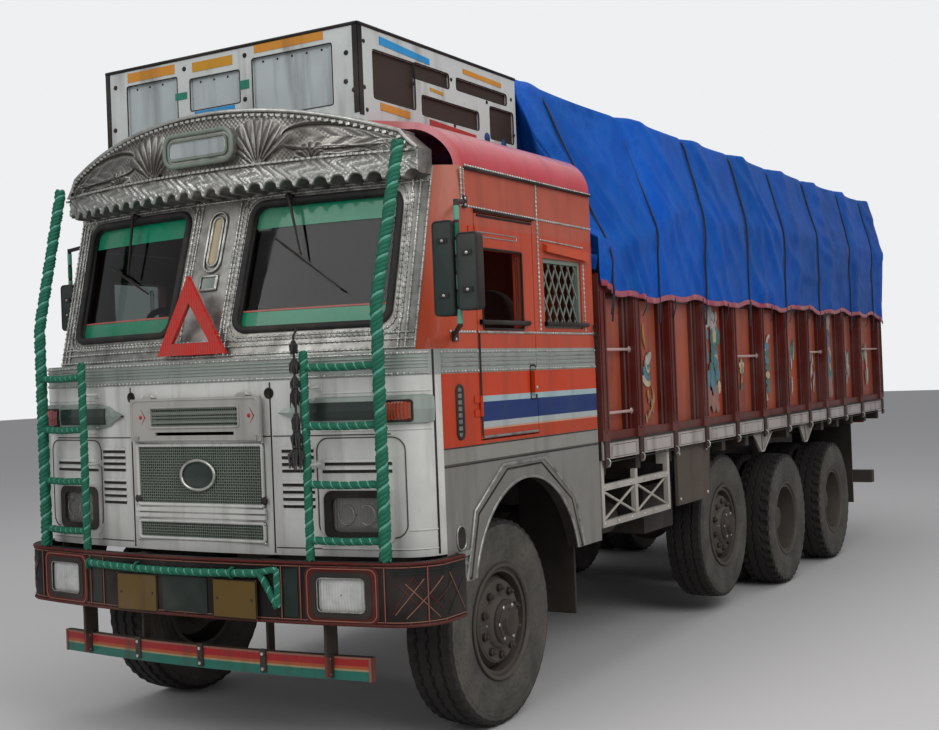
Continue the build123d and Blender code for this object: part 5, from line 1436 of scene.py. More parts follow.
def bumper_paintwork():
    """Dull painted outlines, rivets, dark green panels, the rope bar and the blank yellow plates in painted
    shade.
    """
    build = Build()
    front = plan_path(bumper_plan, bumper_half, 0.63)
    for z in (0.668, 0.936):
        build.tube([(x, y, z) for x, y in shift(front, 0.002)], 0.0075, 0, 6)
    for z in (0.682, 0.922):
        build.tube([(x, y, z) for x, y in shift(front, 0.001)], 0.0025, 1, 6)
    for y in (-1.24, -1.075, -0.66, -0.56, 0.56, 0.66, 1.075, 1.24):
        x = plan_x(bumper_plan, bumper_half, y)
        build.tube([(x + 0.001, y, 0.675), (x + 0.001, y, 0.928)], 0.005, 0, 6)
        build.tube([(x + 0.005, y + 0.003, 0.680), (x + 0.005, y + 0.003, 0.924)], 0.0022, 1, 5)
    for side in (1, -1):
        bumper_corner(build, shift(front, 0.0015), side)
    for spot, _ in spaced([(x, y, 0.0) for x, y in shift(front, 0.001)], 0.17):
        for z in (0.676, 0.928):
            normal = x_axis if abs(spot.y) < 1.1 else (0.3, math.copysign(1, spot.y), 0)
            build.dome((spot.x, spot.y, z), normal, 0.007, 0.005, 3, 8)
    x = at(1.076)
    for side in (1, -1):
        y0, y1 = sorted((side * 0.175, side * 0.440))
        # Blank yellow plate, darkened with painted shade.
        build.box((x, y0, 0.670), (x + 0.004, y1, 0.852), 4)
        rim = across_loop((x + 0.004, (y0 + y1) / 2, 0.761), 0.130, 0.088, 0.01)
        build.tube(rim, 0.003, 5, 6, True)
        for y in (y0 + 0.03, y1 - 0.03):
            build.dome((x + 0.004, y, 0.761), x_axis, 0.006, 0.005, 3, 8)
        y = side * 0.61
        flare = [(plan_x(bumper_plan, bumper_half, y + p) + 0.0015, y + p, 0.800 + q)
                 for p, q in rounded(0.036, 0.108, 0.006)]
        outline_patch(build, flare, 6)
    outline_patch(build, across_loop((x + 0.0015, 0, 0.765), 0.140, 0.085, 0.012), 6)
    build.make("bumper_paintwork", ["bumper_red", "pale_line", "bumper_green", "hub", "plate_yellow_painted_shade",
                                    "bumper", "bumper_green"], slot="bumper_paint")
    rope = Build()
    lift = 0.012

    def bar(y, z):
        return Vector((plan_x(bumper_plan, bumper_half, y) + lift, y, z))

    sagging = [bar(float(y), 0.885 - 0.010 * math.sin(math.pi * (float(y) + 0.66) / 1.12))
               for y in np.linspace(-0.66, 0.46, 16)]
    wrap_rope(rope, sagging, 0.019, 0.05)
    wrap_rope(rope, [bar(0.455, 0.885), bar(0.50, 0.815), bar(0.545, 0.735)], 0.018, 0.05)
    wrap_rope(rope, [bar(0.455, 0.890), bar(0.545, 0.905), bar(0.548, 0.735)], 0.016, 0.05)
    for y in (-0.655, -0.3, 0.3):
        spot = bar(y, 0.882)
        ring = [spot + Vector((0.024 * math.cos(a), 0, 0.024 * math.sin(a))) for a in full_turn(12)]
        rope.tube(ring, 0.005, 0, 6, True)
    rope.make("bumper_rope", ["rope", "rope_light"], slot="rope_green")


def bumper_corner(build, path, side):
    """Painted cross lines round one corner of the bumper."""
    rng = random.Random(7 + side)
    corner = spaced([(x, y, 0.0) for x, y in path if side * y > 1.09], 0.012)
    count = len(corner) - 1
    for z in (0.906, 0.892):
        build.tube([(p.x, p.y, z) for p, _ in corner], 0.002, 2, 5)
    for k in range(11):
        first = int(count * rng.uniform(0.0, 0.75))
        last = min(count, first + int(count * rng.uniform(0.15, 0.45)))
        low, high = rng.uniform(0.69, 0.76), rng.uniform(0.84, 0.885)
        if k % 2:
            low, high = high, low
        line = [(corner[n][0].x, corner[n][0].y, low + (high - low) * (n - first) / max(1, last - first))
                for n in range(first, last + 1)]
        if len(line) > 2:
            build.tube(line, 0.0024, (1, 0, 2)[k % 3], 5)


def plank_paintwork():
    """Red, cream and teal stripes on the lower plank, with its clamps and end edges."""
    build = Build()
    ys = np.linspace(-0.955, 0.955, 90)
    radius = (0.965 ** 2 + 0.065 ** 2) / (2 * 0.065)

    def face(y, out):
        return at(1.000 - radius + math.sqrt(radius ** 2 - y * y)) + out

    stripes = ((0.406, 0.448, 1), (0.448, 0.457, 2), (0.457, 0.471, 4), (0.471, 0.502, 0), (0.502, 0.511, 3))
    for low, high, slot in stripes:
        edge = ((0.0, low), (0.0025, low), (0.0025, high), (0.0, high))
        build.grid([[(face(y, out), y, z) for out, z in edge] for y in ys], slot, False)
    for y in (-0.76, -0.395, 0.02, 0.395, 0.76):
        x = face(y, 0.003)
        build.box((x - 0.002, y - 0.016, 0.415), (x + 0.008, y + 0.016, 0.522), 5)
        for z in (0.43, 0.50):
            build.nut((x + 0.008, y, z), x_axis, 0.009, 0.007, 6)
    for side in (1, -1):
        x = face(side * 0.958, 0.0)
        build.box((x - 0.020, side * 0.952, 0.404), (x + 0.007, side * 0.962, 0.512), 3)
    build.make("plank_paintwork", ["plank_red", "plank_teal", "plank_cream", "pale_line", "plank_orange",
                                   "hub", "bead"], slot="plank_paint")


# Wheels

tyre_radius = 0.512
tyre_width = 0.271
sidewall = ((0.262, 0.70), (0.270, 0.80), (0.300, 0.89), (0.340, 0.962), (0.372, 0.99), (0.376, 1.0),
            (0.384, 1.0), (0.388, 0.992), (0.430, 0.985), (0.452, 0.965), (0.455, 0.975), (0.463, 0.972),
            (0.466, 0.955), (0.484, 0.935), (0.497, 0.90))
lock_ring = ((0.286, -0.012), (0.290, 0.0), (0.284, 0.007), (0.272, 0.004), (0.268, -0.01))
front_disc = ((0.205, -0.03), (0.208, -0.004), (0.200, 0.002), (0.140, 0.002), (0.132, 0.010), (0.125, 0.034),
              (0.090, 0.040))
front_hub = ((0.112, 0.0), (0.112, 0.018), (0.106, 0.024), (0.070, 0.026), (0.066, 0.050), (0.058, 0.058),
             (0.0002, 0.060))
twin_hub = ((0.215, 0.0), (0.210, 0.010), (0.130, 0.012), (0.122, 0.020), (0.118, 0.075), (0.108, 0.085),
            (0.060, 0.087), (0.056, 0.105), (0.0002, 0.108))
studs, stud_ring = 10, 0.1675
tread_across = [0.86, 0.80, 0.60, 0.575, 0.53, 0.52, 0.46, 0.43, 0.40, 0.36, 0.30, 0.12, 0.095, 0.06, 0.03]


def tread_groove(step, across, deep):
    """Depth of the tread pattern at one step round the tyre; across is -1 to 1."""
    side = abs(across)
    phase = (step + (2 if across > 0 else 0)) % 4
    if side > 0.58:
        return 0.020 * deep if phase >= 2 else 0.0
    if side > 0.5 and deep > 0.9:
        return 0.013 if phase >= 2 else 0.0
    zig = 0.035 if step % 4 < 2 else -0.035
    for groove in (-0.46, 0.0, 0.46):
        if abs(across - groove - zig) < 0.055:
            return 0.011
    return 0.0


def tyre_side(step, side, deep):
    """Radius and place across of one half of the tyre's section, from the bead to the middle of the tread."""
    half = tyre_width / 2
    beat = step if side > 0 else step + 2
    points = []
    for r, t in sidewall:
        notch = 0.013 * deep if r > 0.46 and beat % 4 >= 2 else 0.0
        points.append((r - notch, side * t * half))
    for t in tread_across:
        crown = tyre_radius - 0.006 * t ** 3 / 0.64
        points.append((crown - tread_groove(step, side * t, deep), side * t * half))
    return points


def tyre(build, centre, lugs, deep):
    """Sidewalls with rings, shoulders and a grooved tread."""
    half = tyre_width / 2
    inside = [(0.255, -0.66 * half), (0.255, 0.66 * half)]
    steps = lugs * 4
    rows = []
    for j in range(steps):
        turn = 2 * math.pi * j / steps
        c, s = math.cos(turn), math.sin(turn)
        row = tyre_side(j, 1, deep) + tyre_side(j, -1, deep)[::-1] + inside
        rows.append([(centre[0] + r * c, centre[1] + t, centre[2] + r * s) for r, t in row])
    rows.append(rows[0])
    build.grid(rows, [1] * 13 + [0] * 33 + [1] * 13 + [0] * 3, False, True)


def wheel_details(build, centre, side, kind):
    """Nuts, hub, lock ring and valve on one wheel; side is the way its outer face looks."""
    axis = Vector((0, side, 0))
    mid = Vector(centre)
    if kind == "front":
        disc_out, hub_out = 0.100, 0.128
        build.lathe(mid + axis * 0.126, axis, lock_ring, 0, 56)
        build.lathe(mid + axis * disc_out, axis, front_disc, 0, 48)
        build.lathe(mid + axis * hub_out, axis, front_hub, 1, 40)
        lift = disc_out + 0.003
        bolts, bolt_ring, bolt_lift = 6, 0.088, hub_out + 0.024
    else:
        disc_out = -0.118
        build.lathe(mid + axis * 0.118, axis, lock_ring, 0, 56)
        build.lathe(mid + axis * disc_out, axis, twin_hub, 1, 44)
        lift = disc_out + 0.012
        bolts, bolt_ring, bolt_lift = 8, 0.084, disc_out + 0.087
    for k in range(studs):
        turn = 2 * math.pi * (k + 0.5) / studs
        spot = mid + axis * lift + Vector((math.cos(turn), 0, math.sin(turn))) * stud_ring
        build.nut(spot, axis, 0.021, 0.022, 1)
        build.lathe(spot, axis, [(0.010, 0.0), (0.010, 0.034), (0.0002, 0.037)], 1, 8)
    for k in range(bolts):
        turn = 2 * math.pi * k / bolts
        spot = mid + axis * bolt_lift + Vector((math.cos(turn), 0, math.sin(turn))) * bolt_ring
        build.nut(spot, axis, 0.010, 0.009, 2)
    valve = mid + axis * (disc_out + 0.02) + Vector((0.235, 0, 0.02))
    build.tube([valve, valve + axis * 0.05], 0.006, 2, 6)


wheel_places = (
    ("front_left", "front_wheel_left", 0.0, 0.983, tyre_radius, 1),
    ("front_right", "front_wheel_right", 0.0, -0.983, tyre_radius, -1),
    ("lift_left", "lift_wheel_left", -3.270, 0.983, 0.602, 1),
    ("lift_right", "lift_wheel_right", -3.270, -0.983, 0.602, -1),
)
twin_places = (
    ("drive_1_left", "drive_wheel_1_left", -4.500, 1),
    ("drive_1_right", "drive_wheel_1_right", -4.500, -1),
    ("drive_2_left", "drive_wheel_2_left", -5.898, 1),
    ("drive_2_right", "drive_wheel_2_right", -5.898, -1),
)


def wheels():
    """Treads in place of the plain tyres, and the details of every wheel."""
    for name, body, x, y, z, side in wheel_places:
        build = Build()
        tyre(build, (at(x), y, z), 46, 0.25)
        piece = build.make("tread_" + name, ["tread", "tyre"], body, slot="tyre")
        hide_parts("tyre_" + name)
        build = Build()
        wheel_details(build, (at(x), y, z), side, "front")
        build.make("hub_" + name, ["rim", "hub", "bead"], body, slot="wheel_paint")
    for name, body, x, side in twin_places:
        build = Build()
        for y in (1.066, 0.746):
            tyre(build, (at(x), side * y, tyre_radius), 40, 1.0)
        piece = build.make("tread_" + name, ["tread", "tyre"], body, slot="tyre")
        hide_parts("tyres_" + name)
        build = Build()
        wheel_details(build, (at(x), side * 1.066, tyre_radius), side, "twin")
        build.make("hub_" + name, ["rim", "hub", "bead"], body, slot="wheel_paint")


# Tarpaulin

tarp_half = 1.268
tarp_hem = 2.185
hem_y = 1.262
tarp_rear, tarp_front = -7.69, -0.885
tarp_sections = (
    (tarp_rear, 1.294, 2.800, 1.175, 3.325, 3.440),
    (-2.250, 1.285, 2.750, 1.150, 3.285, 3.430),
    (tarp_front, 1.266, 2.305, 0.785, 3.445, 3.500),
)
hoop_first = -7.579
hoop_step = 0.9354
tarp_straps = (-1.13, -1.83, -2.65, -3.55, -4.45, -5.40, -6.45, -7.30)


def tarp_profile(x):
    """Knee, shoulder and crest of the cover at a place along the body."""
    place = x - front_axle
    pair = tarp_sections[:2] if place < tarp_sections[1][0] else tarp_sections[1:]
    share = (place - pair[0][0]) / (pair[1][0] - pair[0][0])
    return [a + (b - a) * share for a, b in zip(pair[0][1:], pair[1][1:])]


def tarp_outline(x):
    """The cover's outline at one place, from the left hem over the top to the right hem."""
    knee_y, knee_z, shoulder_y, shoulder_z, crest = tarp_profile(x)
    rise = crest - shoulder_z
    radius = (shoulder_y ** 2 + rise ** 2) / (2 * rise)
    left = []
    for k in range(20):
        share = k / 20
        left.append((tarp_half + (knee_y - tarp_half) * share, tarp_hem + (knee_z - tarp_hem) * share))
    for k in range(20):
        share = k / 20
        left.append((knee_y + (shoulder_y - knee_y) * share, knee_z + (shoulder_z - knee_z) * share))
    over = []
    for k in range(37):
        y = shoulder_y * (1 - k / 18)
        over.append((y, crest - radius + math.sqrt(max(0.0, radius ** 2 - y * y))))
    right = [(-y, z) for y, z in reversed(left)]
    return left + over + right


def tarp_fold(x, z, side, steep, bays):
    """Folds that run from the top of one strap to the foot of the next, and sagging creases at the rear."""
    place = x - front_axle
    total = 0.0
    for start, end, ridges in bays:
        if not end <= place <= start:
            continue
        u = (start - place) / (start - end)
        v = (3.33 - z) / (3.33 - tarp_hem)
        taper = math.sin(math.pi * min(0.98, max(0.02, u))) ** 0.45
        for first, last, bend, width, height in ridges[side > 0]:
            sag = 0.10 * math.sin(math.pi * u) if bend == 1.0 else 0.0
            d = v - (first + (last - first) * u ** bend + sag)
            rise = math.exp(-(d / width) ** 2) if d > 0 else math.exp(-(d / (width * 1.9)) ** 2)
            total += height * rise * taper
    return steep * (total + 0.004 * math.sin(place * 7 + 3 * z))


def bay_ridges(number, side):
    """Folds of the cover in one bay as lines across it: start, end, bend, width and height."""
    rng = random.Random(40 + 10 * number + side)
    found = []
    if number < 5:
        for k in range(5):
            start = -0.25 + 0.30 * k + rng.uniform(-0.05, 0.05)
            drop = rng.uniform(0.75, 1.15)
            bend, width, height = rng.uniform(0.6, 1.0), rng.uniform(0.035, 0.06), rng.uniform(0.010, 0.026)
            found.append((start, start + drop, bend, width, height))
    else:
        for k in range(6):
            start = 0.04 + 0.17 * k + rng.uniform(-0.03, 0.03)
            end = start + rng.uniform(-0.05, 0.22)
            found.append((start, end, 1.0, rng.uniform(0.03, 0.05), rng.uniform(0.008, 0.016)))
    for k in range(3):
        start = rng.uniform(0.45, 0.95)
        found.append((start, start + rng.uniform(-0.25, 0.25), 1.0, 0.03, rng.uniform(0.005, 0.010)))
    return found


def tarp_drop(outline, foot_x, depth):
    """The end of the cover hanging from the outline's edge in upright and slanting folds."""
    rows = []
    for spot in outline:
        if spot.z < 2.40:
            continue
        column = []
        for share in np.linspace(0, 1, 22):
            share = float(share)
            fold = 0.5 + 0.5 * math.sin(spot.y * 17 + 1.4 * math.sin(spot.y * 5) + share)
            slant = 0.5 + 0.5 * math.sin(abs(spot.y) * 9 - share * 7 + math.sin(share * 6))
            pull = 0.65 * fold + 0.35 * slant ** 3
            x = spot.x + (foot_x - spot.x) * min(1.0, share / 0.36) - depth * pull * min(1.0, 3 * share)
            column.append(Vector((x, spot.y * (1 - 0.02 * share), spot.z + (2.312 - spot.z) * share)))
        rows.append(column)
    return rows


def wave(seed, x, y):
    """Smooth wrinkles from a few crossed sines."""
    rng = random.Random(seed)
    total = 0.0
    for _ in range(5):
        turn = rng.uniform(0, math.pi)
        pitch = rng.uniform(2.2, 9.0)
        along = x * math.cos(turn) + y * math.sin(turn)
        total += math.sin(along * pitch + rng.uniform(0, 6)) / (1 + 0.25 * pitch)
    return total


def hem_drop(x, side):
    """How far the hem hangs below the straight edge at a place."""
    rear = max(0.0, 1 - (x - at(tarp_rear)) / 0.5)
    front = max(0.0, 1 - (at(tarp_front) - x) / 0.35)
    sag = 0.014 * math.sin(x * 5.0) + 0.010 * math.sin(x * 12.0 + side)
    return sag + 0.015 + 0.08 * rear ** 2 - 0.05 * front ** 2


def tarp_sheet():
    """The cover: tight over the hoops and rails, slack between them, pulled in folds towards the straps."""
    x_rear, x_front = at(-7.688), at(-0.889)
    columns = 330
    ends = [tarp_front] + list(tarp_straps) + [tarp_rear]
    bays = [(a, b, (bay_ridges(k, -1), bay_ridges(k, 1)))
            for k, (a, b) in enumerate(zip(ends[:-1], ends[1:]))]
    rows = []
    for c in range(columns + 1):
        x = x_rear + (x_front - x_rear) * c / columns
        outline = tarp_outline(x)
        beat = (x - at(hoop_first)) / hoop_step
        hoop = math.exp(-((beat - round(beat)) * hoop_step / 0.11) ** 2)
        near = min(abs(x - at(s)) for s in tarp_straps)
        strap = math.exp(-(near / 0.05) ** 2)
        front = min(1.0, max(0.0, (x - at(-1.7)) / (x_front - at(-1.7))))
        row = []
        for y, z in outline:
            side = 1 if y > 0 else -1
            steep = min(1.0, max(0.0, (3.40 - z) / 0.12))
            rail = math.exp(-((abs(y) - 0.74) / 0.12) ** 2) + math.exp(-(y / 0.12) ** 2)
            hold = max(hoop, rail * (1 - steep))
            slack = (0.026 - 0.008 * steep) * (1 - hold)
            ripple = 0.005 * wave(3 if side > 0 else 8, x, z if steep > 0.5 else y)
            top_fold = (1 - steep) * 0.010 * (0.5 + 0.5 * math.sin(y * 9 + x * 2.2 + math.sin(x * 1.9))) ** 2
            out = tarp_fold(x, z, side, steep, bays) + top_fold + ripple - slack - 0.012 * strap * steep
            out = min(0.030, max(-0.008 - 0.022 * (1 - hold), out))
            outward = Vector((0, side * (0.2 + 0.8 * steep), 1 - 0.85 * steep)).normalized()
            if abs(y) < 0.3 and z > 3.2:
                outward = Vector(z_axis)
            reach = max(0.0, 1 - (z - tarp_hem) / 0.5)
            spot = Vector((x, y, z)) + outward * out
            spot.z -= hem_drop(x, side) * reach
            if z < 2.5:
                spot.y = side * max(abs(spot.y), hem_y)
            tuck = 0.088 * front ** 3 * min(1.0, max(0.0, (3.06 - z) / 0.05))
            spot.x -= tuck
            row.append(spot)
        rows.append(row)
    build = Build()
    build.grid(rows, 0, True)
    build.grid(tarp_drop(rows[0], at(tarp_rear), 0.018), 0, True)
    build.grid(tarp_drop(rows[-1], at(-0.980), 0.022), 0, True)
    piece = build.make("tarpaulin", ["tarp"], slot="tarp_blue")
    solid = piece.modifiers.new("cloth", "SOLIDIFY")
    solid.thickness = 0.003
    solid.offset = 0
    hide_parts("tarp")
    return piece, rows


def smooth_line(line, passes):
    """The line with its small kinks averaged out; its ends stay."""
    for _ in range(passes):
        inner = [(a + b * 2 + c) / 4 for a, b, c in zip(line[:-2], line[1:-1], line[2:])]
        line = [line[0]] + inner + [line[-1]]
    return line


def tarp_trim(rows):
    """Crimson hem, dark straps pulled over the cover, and their ties."""
    hem = Build()
    for index in (0, -1):
        line = [row[index] + Vector((0, 0.004 if index == 0 else -0.004, 0.004)) for row in rows]
        flat = []
        for p in line:
            side = 1 if p.y > 0 else -1
            band = ((0.003, 0.022), (0.005, 0), (0.003, -0.012), (-0.002, -0.012))
            flat.append([p + Vector((0, side * out, lift)) for out, lift in band])
        hem.grid(flat, 0, True)
        for k in range(8, len(rows) - 8, 24):
            spot = line[k]
            side = 1 if spot.y > 0 else -1
            tie = [spot + Vector((0, side * 0.006, 0.010)), spot + Vector((0.01, side * 0.008, -0.05)),
                   Vector((spot.x + 0.01, side * 1.258, 2.06))]
            hem.tube(tie, 0.004, 1, 6)
    hem_piece = hem.make("tarp_hem", ["hem", "strap"], slot="tarp_blue")
    straps = Build()
    for s in tarp_straps:
        x = at(s)
        share = (x - rows[0][0].x) / (rows[-1][0].x - rows[0][0].x)
        row = rows[min(len(rows) - 2, max(1, round(share * (len(rows) - 1))))]
        line = []
        for k, p in enumerate(row):
            a = row[max(k - 1, 0)]
            b = row[min(k + 1, len(row) - 1)]
            normal = Vector((0, -(b - a).z, (b - a).y)).normalized()
            if normal.dot(Vector((0, p.y, max(0.0, p.z - 2.0) * 2))) < 0:
                normal = -normal
            line.append(Vector((x, p.y, p.z)) + normal * 0.007)
        line = smooth_line(line, 4)
        line = [Vector((x, hem_y, 2.02))] + line + [Vector((x, -hem_y, 2.02))]
        straps.tube(line, 0.0065, 0, 6)
    strap_piece = straps.make("tarp_straps", ["strap"], slot="tarp_blue")
    return [hem_piece.name, strap_piece.name]


# Cargo body

panel_face = 1.195
panel_z = 1.80
band_z = 1.284
hook_z = 1.225
rod_heights = {0: (1.862, 1.500), 4: (1.805,), 7: (1.825,), 10: (1.845,)}
ornaments = ("none", "sprig", "none", "band", "flower", "crescent", "strokes", "strokes", "band", "strokes",
             "strokes")
post_places = (0.540, 1.090, 1.650, 2.270, 2.900, 3.490, 4.090, 4.640, 5.220, 5.830)


def body_details():
    """Pressed ribs, rods, hooks, post feet, band panels, painted ornament and a painted shadow line on the
    sides of the body.
    """
    build = Build()
    rng = random.Random(11)
    front = at(-0.970)
    edges = [0.0475] + list(post_places) + [6.652]
    for side in (1, -1):
        y = side * panel_face
        for number, (a, b) in enumerate(zip(edges[:-1], edges[1:])):
            left, right = front - b + 0.052, front - a - 0.052
            wide = right - left
            for x, width in ((left + 0.028, 0.034), (left + 0.088, 0.026), (right - 0.022, 0.026)):
                build.slab((x, y + side * 0.012, panel_z), x_axis, z_axis, (width, 0.86, 0.026), 1)
            build.slab((left + wide / 2, y + side * 0.006, 2.17), x_axis, z_axis, (wide, 0.030, 0.014), 1)
            for rod_z in rod_heights.get(number, ()):
                foot, out = y + side * 0.010, y + side * 0.036
                rod = [(left + 0.01, foot, rod_z), (left + 0.035, out, rod_z), (right - 0.035, out, rod_z),
                       (right - 0.01, foot, rod_z)]
                build.tube(rod, 0.009, 2, 8)
                for x in (left + 0.016, right - 0.016):
                    build.dome((x, y + side * 0.020, rod_z), (0, side, 0), 0.022, 0.014, 3, 10)
            middle = (left + 0.10 + right) / 2
            ornament(build, rng, (middle, y + side * 0.007, panel_z), side, number)
            middle = (left + right) / 2
            build.slab((middle, side * 1.2440, band_z), x_axis, z_axis, (wide - 0.03, 0.086, 0.004), 4)
            panel = along_loop((middle, side * 1.2462, band_z), (wide - 0.05) / 2, 0.034, 0.004, 2)
            build.tube(panel, 0.0016, 5, 4, True)
        for a in edges:
            x = front - a
            for z in (1.40, 1.46, 2.20):
                build.dome((x, side * 1.250, z), (0, side, 0), 0.009, 0.005, 1, 8)
            for dx in (-0.026, 0.026):
                build.slab((x + dx, side * 1.2515, panel_z), z_axis, x_axis, (0.78, 0.012, 0.006), 1)
            build.box((x - 0.030, side * 1.2405, 1.196), (x + 0.030, side * 1.2520, 1.345), 5)
            hook = [(x + 0.012, side * 1.252 + side * 0.018 * math.sin(t), hook_z + 0.022 * math.cos(t))
                    for t in np.linspace(0, math.pi, 7)]
            build.tube(hook, 0.005, 3, 6)
        # A thin black strip along the top of the band: a painted shadow line.
        build.box((front - 6.69, side * 1.2405, 1.333), (front - 0.01, side * 1.2455, 1.347), 6)
        build.tube([(front - 6.69, side * 1.243, 1.226), (front - 0.01, side * 1.243, 1.226)], 0.004, 6, 6)
    build.make("body_details", ["body", "post", "rod_pink", "bead", "band_white", "post_foot",
                                "black_metal", "cream", "faded_teal", "faded_yellow", "faded_blue",
                                "faded_pink", "band_white"], slot="body_paint")


def ornament(build, rng, place, side, number):
    """A generic painted sprig, band, flower or row of strokes, faded and a little uneven."""
    x, y, z = place
    kind = ornaments[number]
    layer = 0

    def leaf(dx, z_place, turn, long, width, slot):
        nonlocal layer
        layer += 1
        petal(build, (x + dx, y + side * 0.00015 * layer, z_place), side, turn, long, width, slot)

    if kind == "sprig":
        for k, slot in enumerate((7, 10, 8, 7, 10, 8, 7, 12)):
            leaf(-side * 0.07 + 0.012 * k, z - 0.16 + 0.020 * k, 0.35 + 0.33 * k, 0.15 - 0.006 * k, 0.22,
                 slot)
        for low, high, bend in ((0.06, 0.22, 0.04), (-0.36, -0.16, -0.09)):
            line = [(x + side * bend * math.sin(2.4 * t), y, z + low + (high - low) * t)
                    for t in np.linspace(0, 1, 9)]
            build.tube(line, [0.003 + 0.007 * math.sin(math.pi * t) for t in np.linspace(0, 1, 9)], 9, 5)
        for k in range(6):
            leaf(rng.uniform(-0.10, 0.10), z - 0.25 - 0.03 * k, rng.uniform(0.8, 2.2), 0.07, 0.20,
                 rng.choice((11, 9)))
    elif kind == "band":
        half = 0.12 if number == 3 else 0.05
        for k in range(16):
            for _ in range(4):
                slot = 12 if k < 3 else (11 if k > 12 else rng.choice((10, 8, 8, 10, 7)))
                leaf(rng.uniform(-half, half), z + 0.24 - 0.042 * k, rng.uniform(1.1, 2.0),
                     rng.uniform(0.08, 0.13), 0.30, slot)
    elif kind == "flower":
        for k in range(5):
            leaf(0.0, z - 0.07, 2 * math.pi * k / 5 + 0.3, 0.06, 0.34, 7)
        disc(build, (x, y + side * 0.002, z - 0.07), side, 0.014, 9)
        for k in range(4):
            leaf(0.02 * k - 0.02, z - 0.16 - 0.03 * k, 1.3 + 0.3 * k, 0.08, 0.22, (8, 11, 9, 8)[k])
    elif kind == "crescent":
        for k in range(22):
            turn = -1.25 + 2.5 * k / 21
            leaf(side * (0.10 * math.cos(turn) - 0.03), z - 0.10 + 0.25 * math.sin(turn), turn + 1.57,
                 0.075, 0.22, 7 if k % 3 else 12)
        for k in range(7):
            leaf(-side * 0.05, z + 0.07 - 0.055 * k, 0.1, 0.11, 0.26, (10, 8, 10, 8, 7, 8, 8)[k])
    elif kind == "strokes":
        for _ in range(16):
            leaf(rng.uniform(-0.09, 0.09), z + rng.uniform(-0.34, -0.02), rng.uniform(1.3, 1.85),
                 rng.uniform(0.08, 0.20), 0.10, rng.choice((7, 11, 12, 12, 8)))


def petal(build, place, side, turn, length, width, slot):
    """A leaf that starts at a place on the side of the body and points along an angle."""
    x, y, z = place
    outline = []
    for t in full_turn(14):
        p = length * (0.56 + 0.44 * math.cos(t))
        q = length * width * math.sin(t)
        outline.append((x + p * math.cos(turn) - q * math.sin(turn), y,
                        z + p * math.sin(turn) + q * math.cos(turn)))
    outline_patch(build, facing(side, outline), slot)


def disc(build, place, side, radius, slot):
    """A thin painted disc on the side of the body."""
    x, y, z = place
    outline = [(x + radius * math.cos(t), y, z + radius * math.sin(t)) for t in full_turn(18)]
    outline_patch(build, facing(side, outline), slot)


def under_body():
    """Cross struts of the side guard, brace outlines and bolts, and the plate edges under the body."""
    build = Build()
    for side in (1, -1):
        front, rear = at(-1.01), at(-1.95)
        y = side * 1.21
        for a, b in ((0.0, 0.5), (0.5, 1.0)):
            x0 = front + (rear - front) * a
            x1 = front + (rear - front) * b
            for z0, z1 in ((0.895, 1.065), (1.065, 0.895)):
                build.tube([(x0, y, z0), (x1, y, z1)], 0.008, 0, 6)
        for x in np.linspace(front, rear, 6):
            for z in (1.082, 0.877):
                build.dome((float(x), side * 1.225, z), (0, side, 0), 0.010, 0.006, 1, 8)
        for ahead, tip, back in ((-3.659, -3.852, -4.087), (-4.833, -4.985, -5.212)):
            y = side * 1.223
            edge = [(at(ahead), y, 1.222), (at(tip) + 0.030, y, 1.088), (at(tip) - 0.030, y, 1.088),
                    (at(back), y, 1.222)]
            build.tube(edge, 0.007, 2, 6)
            build.tube([(at(tip), y, 1.10), (at(tip) + 0.02, y, 1.215)], 0.004, 3, 6)
        plate = along_loop((at(-2.4165), side * 1.223, 1.043), 0.292, 0.176, 0.02, 4)
        build.tube(plate, 0.004, 3, 6, True)
        for x in (-2.66, -2.17):
            for z in (0.90, 1.19):
                build.dome((at(x), side * 1.222, z), (0, side, 0), 0.012, 0.007, 1, 8)
    build.make("guard_struts", ["side_guard", "bead", "band_white", "mud_line"], slot="guard_paint")


def gate_details():
    """Pocket edges, painted lozenges, latches and bolts of the tailgate."""
    build = Build()
    face, floor = at(-7.716), at(-7.700)
    half, low, tall = 1.242, 1.354, 0.930
    wide, high = 2 * half / 4, tall / 3
    back = Vector((-1, 0, 0))
    for row in range(3):
        for column in range(4):
            y = -half + wide * (column + 0.5)
            z = low + high * (row + 0.5)
            edge = across_loop((floor - 0.002, y, z), wide / 2 - 0.052, high / 2 - 0.047, 0.006, 2)
            build.tube(edge, 0.006, 0, 6, True)
            lozenge = [(floor - 0.001, y - 0.13, z), (floor - 0.001, y, z + 0.055),
                       (floor - 0.001, y + 0.13, z), (floor - 0.001, y, z - 0.055)]
            outline_patch(build, lozenge, 1 if (row + column) % 2 else 2)
            build.tube([(floor - 0.0025, py, pz) for _, py, pz in lozenge], 0.0025, 3, 5, True)
            build.dome((floor - 0.002, y, z), back, 0.018, 0.006, 3, 14)
    for y in (-1.218, -0.621, 0.0, 0.621, 1.218):
        for z in (1.40, 1.62, 1.86, 2.04, 2.24):
            build.dome((face, y, z), back, 0.010, 0.005, 4, 8)
    for side in (1, -1):
        build.box((face - 0.008, side * 1.19 - 0.025, 2.13), (face, side * 1.19 + 0.025, 2.21), 4)
        latch = [(face - 0.006, side * 1.19, 2.19), (face - 0.007, side * 1.15, 2.165),
                 (face - 0.007, side * 1.08, 2.16)]
        build.tube(latch, 0.006, 4, 8)
    build.make("tailgate_details", ["post", "faded_yellow", "faded_teal", "cream", "bead"], "tailgate",
               slot="body_paint")


